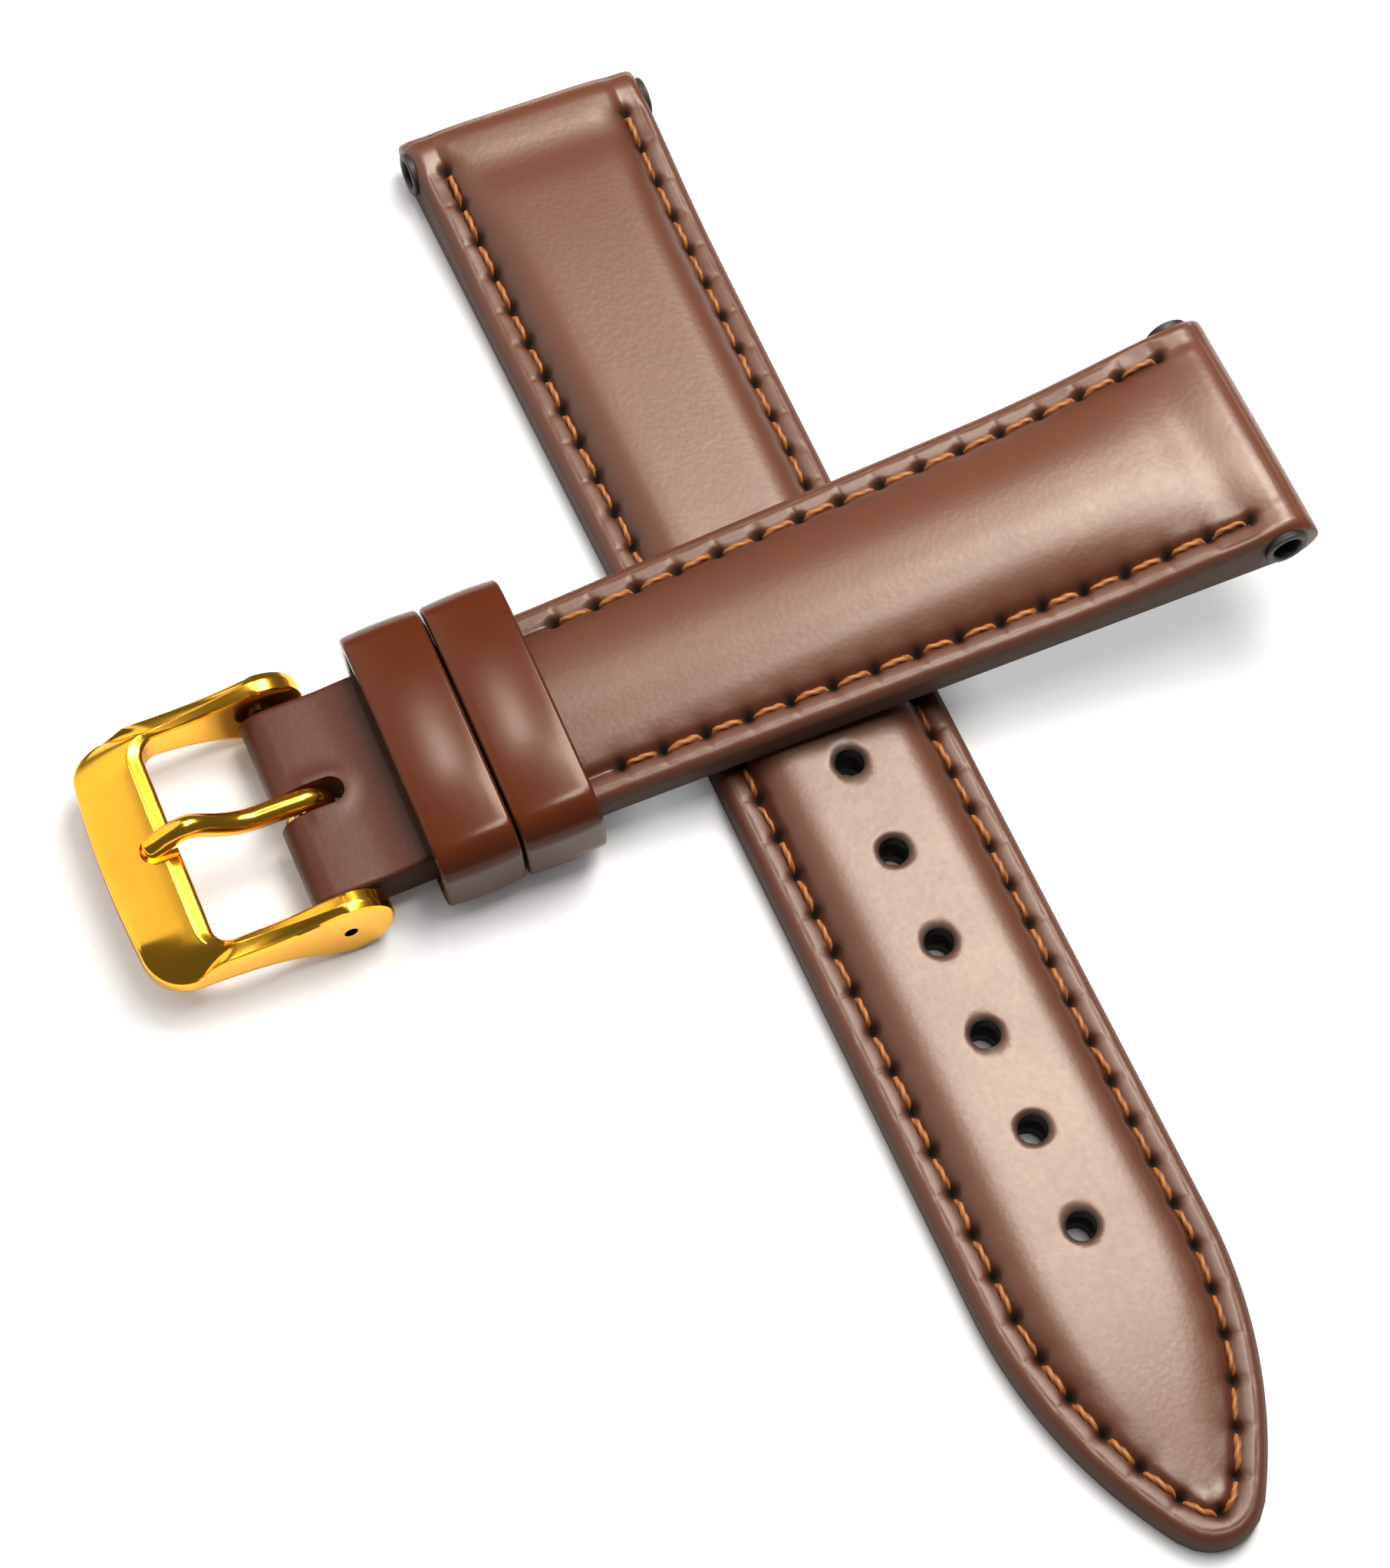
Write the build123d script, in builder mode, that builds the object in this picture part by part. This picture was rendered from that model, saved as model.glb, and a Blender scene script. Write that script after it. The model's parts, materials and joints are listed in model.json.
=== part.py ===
"""Two-piece padded leather watch strap, lying as its halves cross.

The long half lies flat and runs along +X from its lug end to its pointed tip. The short half lies
across it, runs along -Y from its lug end to the buckle, and leans down so that the ears of the
buckle stand on the ground. The origin is on the ground, under the middle of the whole strap.
Each half has its own frame: x along it from the lug end, y across it, z up from its underside.
"""
from build123d import *
import os
from math import acos, asin, atan2, cos, hypot, radians, sin, sqrt

os.makedirs("parts", exist_ok=True)

# Leather and lug ends, the same on both halves
lug_width = 18.0
roll_radius = 2.4
bar_hole_radius = 1.0
liner_wall = 0.5
liner_proud = 0.3
skin = 1.2
lining_thickness = 0.9
lining_start = 6.0
lining_inset = 1.0
stay_thickness = 0.25
pad_start = 6.5
pad_edge = 0.2
pad_side_gap = 0.4
edge_round = 0.6
rim_at_lug = 4.5
lug_fade = 14.0
groove_depth = 0.25

# Stitches, the same on both halves
stitch_inset = 2.0
stitch_pitch = 3.0
stitch_gap = 0.8
first_stitch = 4.5
thread_radius = 0.25
thread_clearance = 0.05

# Long half
tail_length = 115.0
tail_width = 16.6
tail_taper = 50.0
tail_side_radius = 33.0
tail_tip_radius = 3.5
tail_middle_thickness = 4.0
tail_hole_thickness = 3.2
tail_rim = 2.8
tail_tip_rim = 2.2
pad_end_from_tip = 19.0
tail_pad_end = tail_length - pad_end_from_tip
row_end_from_tip = 3.0
tail_row_end = tail_length - row_end_from_tip
hole_radius = 1.0
hole_pitch = 7.0
hole_count = 6
last_hole_from_tip = 21.5
first_hole = tail_length - last_hole_from_tip - (hole_count - 1) * hole_pitch

# Short half
head_width = 15.5
head_taper = 50.0
head_middle_thickness = 4.2
head_neck_thickness = 3.3
head_rim = 2.8
head_neck_rim = 2.5
head_pad_end = 52.0
head_body_end = 61.5
loop_radius = 1.65
bar_from_lug = 69.4
slot_half_width = 1.2
slot_behind_bar = 3.2
tab_thickness = 0.8
tab_length = 7.0
tab_half_width = 5.0

# How the halves lie
tail_crossing = 48.2
head_crossing = 34.8
crossing_clearance = 0.4
head_turn = radians(0.5)

# Keepers
keeper_width = 5.5
keeper_wall = 1.2
keeper_inner_width = 17.0
keeper_inner_height = 5.0
keeper_round = 2.1
keeper_gap = 0.15
fixed_keeper_start = 57.35
free_keeper_floor = 0.1
seam_stitch = 1.6
seam_pitch = 2.6

# Buckle, measured from the axis of its spring bar
ear_radius = 3.1
frame_half_width = 9.3
arm_thickness = 1.5
ear_inside = frame_half_width - arm_thickness
front_inner = 8.4
front_outer = 13.5
front_bow = 0.4
front_bottom = -0.4
front_top = 2.2
front_bevel = 0.6
arm_root = 3.4
arm_root_bottom = -1.4
arm_root_top = 2.6
frame_corner = 2.6
frame_inner_corner = 1.2
notch_radius = 1.05
notch_height = 2.45
notch_end = 11.0

# The folded leather, which fits between the ears
loop_side_gap = 0.4
loop_half_width = ear_inside - loop_side_gap

# Tongue of bent wire
wire_radius = 0.78
eye_clearance = 0.07
eye_turn = 245
tongue_level = 4.3
tongue_peak = 7.9
tongue_peak_height = 3.85
tongue_tip = 10.5
tongue_tip_height = 2.35
tongue_lower_bend = 4.0
tongue_upper_bend = 2.0

# Spring bar
tube_radius = 0.75
tube_bore = 0.55
tube_side_gap = 0.4
tube_half_length = ear_inside - tube_side_gap
loop_bore_clearance = 0.05
plunger_radius = 0.5
plunger_side_gap = 0.2
plunger_shoulder = ear_inside - plunger_side_gap
plunger_length = 2.0
plunger_start = plunger_shoulder - plunger_length
plunger_tip_radius = 0.4
plunger_tip_sink = 0.6
plunger_tip_end = frame_half_width - plunger_tip_sink
ear_hole_clearance = 0.05
spring_wire = 0.08
spring_wire_sides = 12
spring_radius = 0.4
spring_pitch = 0.75
spring_end_gap = 0.1

# Extra length of every cut
overrun = 1.0

# Where the sections of the lofts stand, as shares of the stretch that they cross
roll_shares = (0.02, 0.12, 0.35, 0.65)
fade_shares = (0.0, 0.35, 0.7)
body_shares = (0.0, 0.2, 0.4, 0.6, 0.8, 1.0)
tip_shares = (0.2, 0.4, 0.57, 0.71, 0.82, 0.9, 0.95, 0.985)
pad_shares = (0.0, 0.1, 0.3, 0.5, 0.75, 1.0)
least_row_share = 0.35
most_round_share = 0.4


def between(x, x0, x1, a, b):
    """Straight run of a value from a at x0 to b at x1, held outside them."""
    share = min(1, max(0, (x - x0) / (x1 - x0)))
    return a + (b - a) * share


class Half:
    """Frame and sizes of one half of the strap."""

    def __init__(self, width, taper, rims, places, thicknesses):
        self.plane = Plane.XY
        self.width = width
        self.taper = taper
        self.rims = rims
        self.places = places
        self.thicknesses = thicknesses
        self.pointed = False

    def point_end(self, length):
        """Give the half a pointed end: two large side arcs that a small tip arc joins."""
        self.pointed = True
        self.tip_centre = length - tail_tip_radius
        small_to_large = tail_side_radius - tail_tip_radius
        drop = tail_side_radius - self.width / 2
        self.side_start = self.tip_centre - sqrt(small_to_large**2 - drop**2)
        self.tip_angle = asin((self.tip_centre - self.side_start) / small_to_large)

    def point(self, x, y, z):
        """Point of the half's frame in the frame of the whole strap."""
        return self.plane.from_local_coords(Vector(x, y, z))

    def section_plane(self, x):
        """Plane across the half at x, with its own x across the half and its y up."""
        return Plane(origin=self.point(x, 0, 0), x_dir=self.plane.y_dir, z_dir=self.plane.x_dir)

    def side_plane(self, x, z):
        """Plane along the half, through the line across it at x and z."""
        return Plane(origin=self.point(x, 0, z), x_dir=self.plane.x_dir, z_dir=-self.plane.y_dir)

    def tip_tangent(self, inset):
        """Where the side arc of an outline that is set in passes into its tip arc."""
        return self.side_start + (tail_side_radius - inset) * sin(self.tip_angle)

    def half_width(self, x, inset=0):
        """Half of the width at x, of the outline set in all round."""
        straight = between(x, 0, self.taper, lug_width, self.width) / 2
        if not self.pointed or x <= self.side_start:
            return straight - inset
        if x > self.tip_tangent(inset):
            return sqrt(max(0, (tail_tip_radius - inset) ** 2 - (x - self.tip_centre) ** 2))
        side = tail_side_radius - inset
        return straight - tail_side_radius + sqrt(side**2 - (x - self.side_start) ** 2)

    def row(self, x):
        """Distance of the stitch groove from the centre line at x."""
        return max(self.half_width(x, stitch_inset), self.half_width(x) * least_row_share)

    def rim(self, x):
        """Height of the rim outside the stitches."""
        if x < lug_fade:
            return between(x, roll_radius, lug_fade, rim_at_lug, self.rims[0])
        return between(x, lug_fade, self.places[-1], *self.rims)

    def groove(self, x):
        """Height of the groove that the stitches lie in."""
        return self.rim(x) - groove_depth

    def crown(self, x):
        """Height of the crown on the centre line, which falls with the rows towards a pointed tip."""
        thickness = self.thicknesses[0]
        for i in range(len(self.places) - 1):
            if x > self.places[i]:
                thickness = between(x, *self.places[i : i + 2], *self.thicknesses[i : i + 2])
        full_row = self.width / 2 - stitch_inset
        fall = min(1, self.row(x) / full_row) ** 2
        return self.groove(x) + (thickness - self.groove(x)) * fall

    def row_point(self, distance, side):
        """Middle of the thread at a distance along one stitch row."""
        x = distance
        y = self.half_width(distance, stitch_inset)
        if self.pointed and distance > self.side_start:
            large = tail_side_radius - stitch_inset
            small = tail_tip_radius - stitch_inset
            turned = (distance - self.side_start) / large
            x = self.side_start + large * sin(turned)
            y = self.width / 2 - tail_side_radius + large * cos(turned)
            if turned > self.tip_angle:
                turned = self.tip_angle + (turned - self.tip_angle) * large / small
                x = self.tip_centre + small * sin(turned)
                y = small * cos(turned)
        return self.point(x, side * y, self.groove(x) + thread_radius + thread_clearance)


def spread(start, end, shares):
    """Places at the given shares of a stretch."""
    return [start + share * (end - start) for share in shares]


def outer_heights(half, x):
    """Heights of underside, rim, groove and crown at x, drawn in round the rolled lug end."""
    level = max(x, roll_radius)
    turn = sqrt(1 - (1 - min(x, roll_radius) / roll_radius) ** 2)
    heights = (0, half.rim(level), half.groove(level), half.crown(level))
    return [roll_radius + (height - roll_radius) * turn for height in heights]


def make_upper(half, stations, inner):
    """Outer leather: rounded rims, grooves and crown, less what it closes round and the liner's hole."""
    with BuildPart() as upper:
        for x in stations:
            low, rim, groove, crown = outer_heights(half, x)
            side_middle = (low + rim) / 2
            wide = half.half_width(x)
            flat = wide - min(edge_round, wide * most_round_share, side_middle - low)
            row = half.row(x)
            with BuildSketch(half.section_plane(x)):
                with BuildLine():
                    Line((-flat, low), (flat, low))
                    ThreePointArc((flat, low), (wide, side_middle), (flat, rim))
                    Line((flat, rim), (row, groove))
                    ThreePointArc((row, groove), (0, crown), (-row, groove))
                    Line((-row, groove), (-flat, rim))
                    ThreePointArc((-flat, rim), (-wide, side_middle), (-flat, low))
                make_face()
        loft(ruled=True)
        with BuildSketch(half.side_plane(roll_radius, roll_radius)):
            Circle(bar_hole_radius + liner_wall)
        extrude(amount=lug_width, both=True, mode=Mode.SUBTRACT)
        for piece in inner:
            add(piece.part, mode=Mode.SUBTRACT)
    return upper


def make_pad(half, end):
    """Padding: flat on the stay tape, low at the sides and crowned under the leather."""
    base = lining_thickness + stay_thickness
    with BuildPart() as pad:
        for x in spread(pad_start, end, pad_shares):
            wide = half.row(x) - pad_side_gap
            with BuildSketch(half.section_plane(x)):
                with BuildLine():
                    Polyline((-wide, base + pad_edge), (-wide, base), (wide, base), (wide, base + pad_edge))
                    ThreePointArc(
                        (wide, base + pad_edge), (0, half.crown(x) - skin), (-wide, base + pad_edge)
                    )
                make_face()
        loft(ruled=True)
    return pad


def flat_outline(side):
    """Closed outline of straight lines through the points of one side and their mirror."""
    Polyline(*side, *[(x, -y) for x, y in reversed(side)], close=True)


def make_stay(half, end):
    """Stay tape under the padding, which keeps the leather from stretching."""
    with BuildPart() as stay:
        with BuildSketch(half.plane.offset(lining_thickness)):
            with BuildLine():
                flat_outline([(x, half.row(x) - pad_side_gap) for x in (pad_start, half.taper, end)])
            make_face()
        extrude(amount=stay_thickness)
    return stay


def make_lining(half, end):
    """Lining set into the underside, inside the turned edge of the leather."""
    places = [lining_start, half.taper, end]
    if half.pointed:
        places = [lining_start, half.taper, half.side_start]
    side = [(x, half.half_width(x, lining_inset)) for x in places]
    other = [(x, -y) for x, y in side]
    with BuildPart() as lining:
        with BuildSketch(half.plane):
            with BuildLine():
                if half.pointed:
                    bend = half.tip_tangent(lining_inset)
                    middle = (half.side_start + bend) / 2
                    middle_width = half.half_width(middle, lining_inset)
                    bend_width = half.half_width(bend, lining_inset)
                    Polyline(other[2], other[1], other[0], side[0], side[1], side[2])
                    ThreePointArc(side[2], (middle, middle_width), (bend, bend_width))
                    ThreePointArc((bend, bend_width), (end, 0), (bend, -bend_width))
                    ThreePointArc((bend, -bend_width), (middle, -middle_width), other[2])
                else:
                    flat_outline(side)
            make_face()
        extrude(amount=lining_thickness)
    return lining


def make_liner(half):
    """Thin tube of leather that lines the hole for the watch's spring bar."""
    with BuildPart() as liner:
        with BuildSketch(half.side_plane(roll_radius, roll_radius)):
            Circle(bar_hole_radius + liner_wall)
            Circle(bar_hole_radius, mode=Mode.SUBTRACT)
        extrude(amount=lug_width / 2 + liner_proud, both=True)
    return liner


def make_thread(half, row_end):
    """Stitches of both rows, each a short length of thread between two holes."""
    length = stitch_pitch - stitch_gap
    count = int((row_end - first_stitch) / stitch_pitch)
    with BuildPart() as thread:
        for side in (-1, 1):
            for i in range(count):
                start = first_stitch + i * stitch_pitch
                first = half.row_point(start, side)
                last = half.row_point(start + length, side)
                with BuildSketch(Plane(origin=first, z_dir=last - first)):
                    Circle(thread_radius)
        extrude(amount=length)
    return thread


def punch_holes(piece, depth):
    """Cut the row of buckle holes through one layer of the long half."""
    with BuildPart() as holed:
        add(piece.part)
        with BuildSketch(tail.plane.offset(-overrun)):
            for i in range(hole_count):
                with Locations((first_hole + i * hole_pitch, 0)):
                    Circle(hole_radius)
        extrude(amount=depth + 2 * overrun, mode=Mode.SUBTRACT)
    return holed


def finish(piece, name):
    """Label a finished piece and write it."""
    piece.part.label = name
    export_step(piece.part, f"parts/{name}.step")


# The two halves, both in their own frames
tail = Half(
    tail_width,
    tail_taper,
    (tail_rim, tail_tip_rim),
    (lug_fade, tail_crossing, tail_pad_end, tail_length),
    (2 * roll_radius, tail_middle_thickness, tail_hole_thickness, tail_hole_thickness),
)
tail.point_end(tail_length)
head = Half(
    head_width,
    head_taper,
    (head_rim, head_neck_rim),
    (lug_fade, head_crossing, head_body_end),
    (2 * roll_radius, head_middle_thickness, head_neck_thickness),
)

# The short half rests on the crown of the long one and leans until its ears reach the ground
head_height = tail.crown(tail_crossing) + crossing_clearance
bar_past_crossing = bar_from_lug - head_crossing
lean = acos((ear_radius - head_height) / hypot(loop_radius, bar_past_crossing)) - atan2(
    bar_past_crossing, loop_radius
)
level_way = Vector(-sin(head_turn), -cos(head_turn), 0)
across = Vector(cos(head_turn), -sin(head_turn), 0)
up = Vector(0, 0, 1)
head_way = level_way * cos(lean) - up * sin(lean)
head_up = level_way * sin(lean) + up * cos(lean)

# The origin lies under the middle of the box round both halves
back_y = ((head_crossing - roll_radius) * cos(lean) - roll_radius * sin(lean)) * cos(head_turn) + roll_radius
front_y = -(bar_past_crossing * cos(lean) + loop_radius * sin(lean) + front_outer) * cos(head_turn)
tail_y = -(back_y + front_y) / 2
tail.plane = Plane((-tail_length / 2, tail_y, 0))
crossing = Vector(tail_crossing - tail_length / 2, tail_y, head_height)
head.plane = Plane(origin=crossing - head_way * head_crossing, x_dir=head_way, z_dir=head_up)
bar_centre = head.point(bar_from_lug, 0, loop_radius)
frame_plane = Plane(origin=bar_centre, x_dir=level_way, z_dir=up)
frame_side = Plane(origin=bar_centre, x_dir=level_way, z_dir=-across)
bar_side = Plane(origin=bar_centre, x_dir=head_way, z_dir=-across)

# Long half, from the underside up
tail_lining = punch_holes(make_lining(tail, tail_length - lining_inset), tail_middle_thickness)
tail_stay = punch_holes(make_stay(tail, tail_pad_end), tail_middle_thickness)
tail_pad = punch_holes(make_pad(tail, tail_pad_end), tail_middle_thickness)
tail_stations = [
    *spread(0, roll_radius, roll_shares),
    *spread(roll_radius, lug_fade, fade_shares),
    *spread(lug_fade, tail.side_start, body_shares),
    *spread(tail.side_start, tail_length, tip_shares),
]
tail_upper = punch_holes(
    make_upper(tail, tail_stations, (tail_lining, tail_stay, tail_pad)), tail_middle_thickness
)
tail_bar_liner = make_liner(tail)
tail_thread = make_thread(tail, tail_row_end)

# Short half, from the underside up
head_lining = make_lining(head, head_body_end)
head_stay = make_stay(head, head_pad_end)
head_pad = make_pad(head, head_pad_end)

# The plain leather that folds round the spring bar, with its tab between lining and outer leather
with BuildPart() as buckle_loop:
    with BuildSketch(head.side_plane(0, 0)):
        with BuildLine():
            Line((bar_from_lug, 0), (head_body_end, 0))
            Line((head_body_end, 0), (head_body_end, 2 * loop_radius))
            Line((head_body_end, 2 * loop_radius), (bar_from_lug, 2 * loop_radius))
            ThreePointArc(
                (bar_from_lug, 2 * loop_radius), (bar_from_lug + loop_radius, loop_radius), (bar_from_lug, 0)
            )
        make_face()
        with Locations((bar_from_lug, loop_radius)):
            Circle(tube_radius + loop_bore_clearance, mode=Mode.SUBTRACT)
    extrude(amount=loop_half_width, both=True)
    with BuildSketch(head.plane.offset(lining_thickness)):
        with Locations((head_body_end - tab_length / 2, 0)):
            Rectangle(tab_length, 2 * tab_half_width)
    extrude(amount=tab_thickness)
    with BuildSketch(head.plane.offset(-overrun)):
        with Locations((bar_from_lug - slot_behind_bar + slot_half_width, 0)):
            Circle(slot_half_width)
        with Locations((bar_from_lug - slot_behind_bar + slot_half_width, 0)):
            Rectangle(slot_behind_bar + loop_radius, 2 * slot_half_width, align=(Align.MIN, Align.CENTER))
    extrude(amount=2 * loop_radius + 2 * overrun, mode=Mode.SUBTRACT)

head_stations = [
    *spread(0, roll_radius, roll_shares),
    *spread(roll_radius, lug_fade, fade_shares),
    *spread(lug_fade, head_body_end, body_shares),
]
head_upper = make_upper(head, head_stations, (head_lining, head_stay, head_pad, buckle_loop))
head_bar_liner = make_liner(head)
head_thread = make_thread(head, fixed_keeper_start - keeper_width)


def make_keeper(start, floor):
    """Band of leather round the short half, and the two seam stitches sunk into its underside."""
    middle = keeper_inner_height / 2 - floor
    groove_height = -floor - keeper_wall + thread_radius + thread_clearance
    sunk = 2 * (thread_radius + thread_clearance)
    with BuildPart() as keeper:
        with BuildSketch(head.section_plane(start)):
            with Locations((0, middle)):
                outer = (keeper_inner_width + 2 * keeper_wall, keeper_inner_height + 2 * keeper_wall)
                RectangleRounded(*outer, keeper_round)
                RectangleRounded(
                    keeper_inner_width, keeper_inner_height, keeper_round - keeper_wall, mode=Mode.SUBTRACT
                )
            with Locations((0, groove_height)):
                Rectangle(sunk, sunk, mode=Mode.SUBTRACT)
        extrude(amount=keeper_width)
    with BuildPart() as thread:
        for step in (-1, 1):
            place = start + (keeper_width + step * seam_pitch - seam_stitch) / 2
            with BuildSketch(head.section_plane(place)):
                with Locations((0, groove_height)):
                    Circle(thread_radius)
        extrude(amount=seam_stitch)
    return keeper, thread


fixed_keeper, fixed_keeper_thread = make_keeper(fixed_keeper_start, 0)
free_keeper, free_keeper_thread = make_keeper(
    fixed_keeper_start - keeper_gap - keeper_width, free_keeper_floor
)

# Buckle frame: the plan of the frame, cut to the side view of ears, arms and bevelled front bar
with BuildPart() as buckle_frame:
    reach = ear_radius + overrun
    with BuildSketch(frame_plane.offset(-reach)) as plan:
        with BuildLine():
            Polyline(
                (front_outer - front_bow, -frame_half_width),
                (-reach, -frame_half_width),
                (-reach, frame_half_width),
                (front_outer - front_bow, frame_half_width),
            )
            ThreePointArc(
                (front_outer - front_bow, frame_half_width),
                (front_outer, 0),
                (front_outer - front_bow, -frame_half_width),
            )
        make_face()
        fillet(plan.vertices().sort_by(Axis.X)[-2:], frame_corner)
    extrude(amount=2 * reach)
    with BuildSketch(frame_plane.offset(-reach)) as opening:
        with Locations((front_inner, 0)):
            Rectangle(
                front_inner + reach + overrun,
                2 * (frame_half_width - arm_thickness),
                align=(Align.MAX, Align.CENTER),
            )
        fillet(opening.vertices().sort_by(Axis.X)[-2:], frame_inner_corner)
    extrude(amount=2 * reach, mode=Mode.SUBTRACT)
    with BuildSketch(frame_side):
        Circle(ear_radius)
        with BuildLine():
            Polyline(
                (0, ear_radius),
                (arm_root, arm_root_top),
                (front_inner, front_top),
                (front_outer - front_bevel, front_top),
                (front_outer, front_top - front_bevel),
                (front_outer, front_bottom),
                (front_inner, front_bottom),
                (arm_root, arm_root_bottom),
                (0, -ear_radius),
                close=True,
            )
        make_face()
    extrude(amount=frame_half_width + overrun, both=True, mode=Mode.INTERSECT)
    with BuildSketch(frame_side):
        Circle(plunger_tip_radius + ear_hole_clearance)
    extrude(amount=frame_half_width + overrun, both=True, mode=Mode.SUBTRACT)
    notch_start = front_inner - overrun
    notch_centre = frame_plane.from_local_coords(Vector(notch_end - notch_radius, 0, notch_height))
    notch_mouth = frame_plane.from_local_coords(Vector(notch_start, 0, notch_height))
    with BuildSketch(Plane(origin=notch_mouth, x_dir=across, z_dir=level_way)):
        Circle(notch_radius)
    extrude(amount=notch_end - notch_radius - notch_start, mode=Mode.SUBTRACT)
    with Locations(notch_centre):
        Sphere(notch_radius, mode=Mode.SUBTRACT)

# Tongue: one wire, bent round the tube of the spring bar, level, then up and down into the notch
eye_radius = tube_radius + eye_clearance + wire_radius
with BuildPart() as buckle_tongue:
    with BuildLine(frame_side) as wire:
        CenterArc((0, 0), eye_radius, 90, eye_turn)
        FilletPolyline(
            (0, eye_radius),
            (tongue_level, eye_radius),
            (tongue_peak, tongue_peak_height),
            (tongue_tip, tongue_tip_height),
            radius=(tongue_lower_bend, tongue_upper_bend),
        )
    path = wire.wires()[0]
    with BuildSketch(Plane(origin=path @ 0, z_dir=path % 0)):
        Circle(wire_radius)
    sweep(path=path)

# Spring bar: tube, two plungers and the spring between them
with BuildPart() as bar_tube:
    with BuildSketch(bar_side):
        Circle(tube_radius)
        Circle(tube_bore, mode=Mode.SUBTRACT)
    extrude(amount=tube_half_length, both=True)


def make_plunger(side):
    """Plunger at one end of the spring bar, with its thin tip in the hole of the ear."""
    with BuildPart() as plunger:
        with BuildSketch(Plane(origin=bar_centre + across * side * plunger_start, z_dir=across * side)):
            Circle(plunger_radius)
        extrude(amount=plunger_shoulder - plunger_start)
        with BuildSketch(Plane(origin=bar_centre + across * side * plunger_shoulder, z_dir=across * side)):
            Circle(plunger_tip_radius)
        extrude(amount=plunger_tip_end - plunger_shoulder)
    return plunger


spring_half_length = plunger_start - spring_end_gap - spring_wire
with BuildPart() as bar_spring:
    with BuildLine() as coil:
        Helix(
            spring_pitch,
            2 * spring_half_length,
            spring_radius,
            center=bar_centre - across * spring_half_length,
            direction=across,
        )
    with BuildSketch(Plane(origin=coil.line @ 0, z_dir=coil.line % 0)):
        RegularPolygon(spring_wire, spring_wire_sides)
    sweep(path=coil.line)
print("spring gap", round(spring_pitch - 2 * spring_wire, 2), "mm")

finish(tail_upper, "tail_upper")
finish(tail_pad, "tail_padding")
finish(tail_stay, "tail_stay_tape")
finish(tail_lining, "tail_lining")
finish(tail_bar_liner, "tail_bar_liner")
finish(tail_thread, "tail_thread")
finish(head_upper, "head_upper")
finish(head_pad, "head_padding")
finish(head_stay, "head_stay_tape")
finish(head_lining, "head_lining")
finish(head_bar_liner, "head_bar_liner")
finish(head_thread, "head_thread")
finish(buckle_loop, "buckle_loop")
finish(fixed_keeper, "fixed_keeper")
finish(fixed_keeper_thread, "fixed_keeper_thread")
finish(free_keeper, "free_keeper")
finish(free_keeper_thread, "free_keeper_thread")
finish(buckle_frame, "buckle_frame")
finish(buckle_tongue, "buckle_tongue")
finish(bar_tube, "spring_bar_tube")
finish(make_plunger(-1), "spring_bar_plunger_left")
finish(make_plunger(1), "spring_bar_plunger_right")
finish(bar_spring, "spring_bar_spring")
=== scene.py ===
"""Two-piece leather watch strap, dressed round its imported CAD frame.

The frame gives the places: the bar holes, the keeper's slide and the buckle's hinge fix where each
half lies and how it leans. Every new surface is a function of two parameters on a grid, worked out
with numpy in the half's own coordinates (along, across, up), in metres.
"""

import json
from math import asin, cos, pi, radians, sqrt

import bmesh
import bpy
import numpy as np
from bpy.props import FloatProperty, FloatVectorProperty, IntProperty, PointerProperty
from mathutils import Matrix


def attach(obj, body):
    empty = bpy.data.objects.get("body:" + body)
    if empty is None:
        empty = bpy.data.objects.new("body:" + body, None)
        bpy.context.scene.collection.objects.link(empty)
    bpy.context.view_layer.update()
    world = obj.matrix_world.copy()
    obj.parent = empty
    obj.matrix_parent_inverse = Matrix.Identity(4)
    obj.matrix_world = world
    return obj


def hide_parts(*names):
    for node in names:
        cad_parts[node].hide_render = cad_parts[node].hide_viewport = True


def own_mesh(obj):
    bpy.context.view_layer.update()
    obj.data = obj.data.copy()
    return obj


bl_info = {
    "name": "Leather watch strap",
    "version": (1, 0, 0),
    "blender": (4, 5, 0),
    "location": "View3D > Sidebar > Strap",
    "description": "Builds a padded leather watch strap with its buckle round the CAD frame",
    "category": "Add Mesh",
}

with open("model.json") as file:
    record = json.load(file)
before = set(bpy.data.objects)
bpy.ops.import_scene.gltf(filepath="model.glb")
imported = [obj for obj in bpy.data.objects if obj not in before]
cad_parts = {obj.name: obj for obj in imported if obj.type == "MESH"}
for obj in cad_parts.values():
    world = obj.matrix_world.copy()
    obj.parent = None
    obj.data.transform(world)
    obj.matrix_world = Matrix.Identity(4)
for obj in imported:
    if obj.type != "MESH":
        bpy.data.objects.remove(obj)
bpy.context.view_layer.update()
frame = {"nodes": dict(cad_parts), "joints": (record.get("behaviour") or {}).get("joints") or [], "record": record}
JOINTS = {joint["name"]: joint for joint in frame["joints"]}
MOUNTS = {mount["name"]: mount for mount in frame["record"]["mounts"]}
UP = np.array((0.0, 0.0, 1.0))
MM = 0.001

# Points closer together than this become one, on most pieces and on thread
MERGE = 0.000004
THREAD_MERGE = 1e-7

# Camera that the photograph was fitted with: place, axes of the picture and lens
CAMERA_PLACE = (0.101489, -0.056121, 0.226289)
CAMERA_RIGHT = (0.39833763, 0.91662792, 0.03347231)
CAMERA_TOP = (-0.82037594, 0.33971268, 0.45997675)
CAMERA_BACK = (0.41025655, -0.21068593, 0.88729983)
SENSOR_HEIGHT = 24.0
LENS = 58.41

# Lamps: name, place, point that each faces, width, height and power
LAMPS = (
    ("window", (-0.085, 0.122, 0.31), (-0.03, 0.02, 0.0), 0.15, 0.165, 1.74),
    ("pane", (0.018, 0.03, 0.31), (0.0, 0.0, 0.0), 0.08, 0.045, 0.3),
    ("card", (-0.143, -0.010, 0.31), (-0.01, -0.025, 0.0), 0.024, 0.03, 0.115),
)
LAMP_COLOUR = (1.0, 0.96, 0.9)

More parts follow.
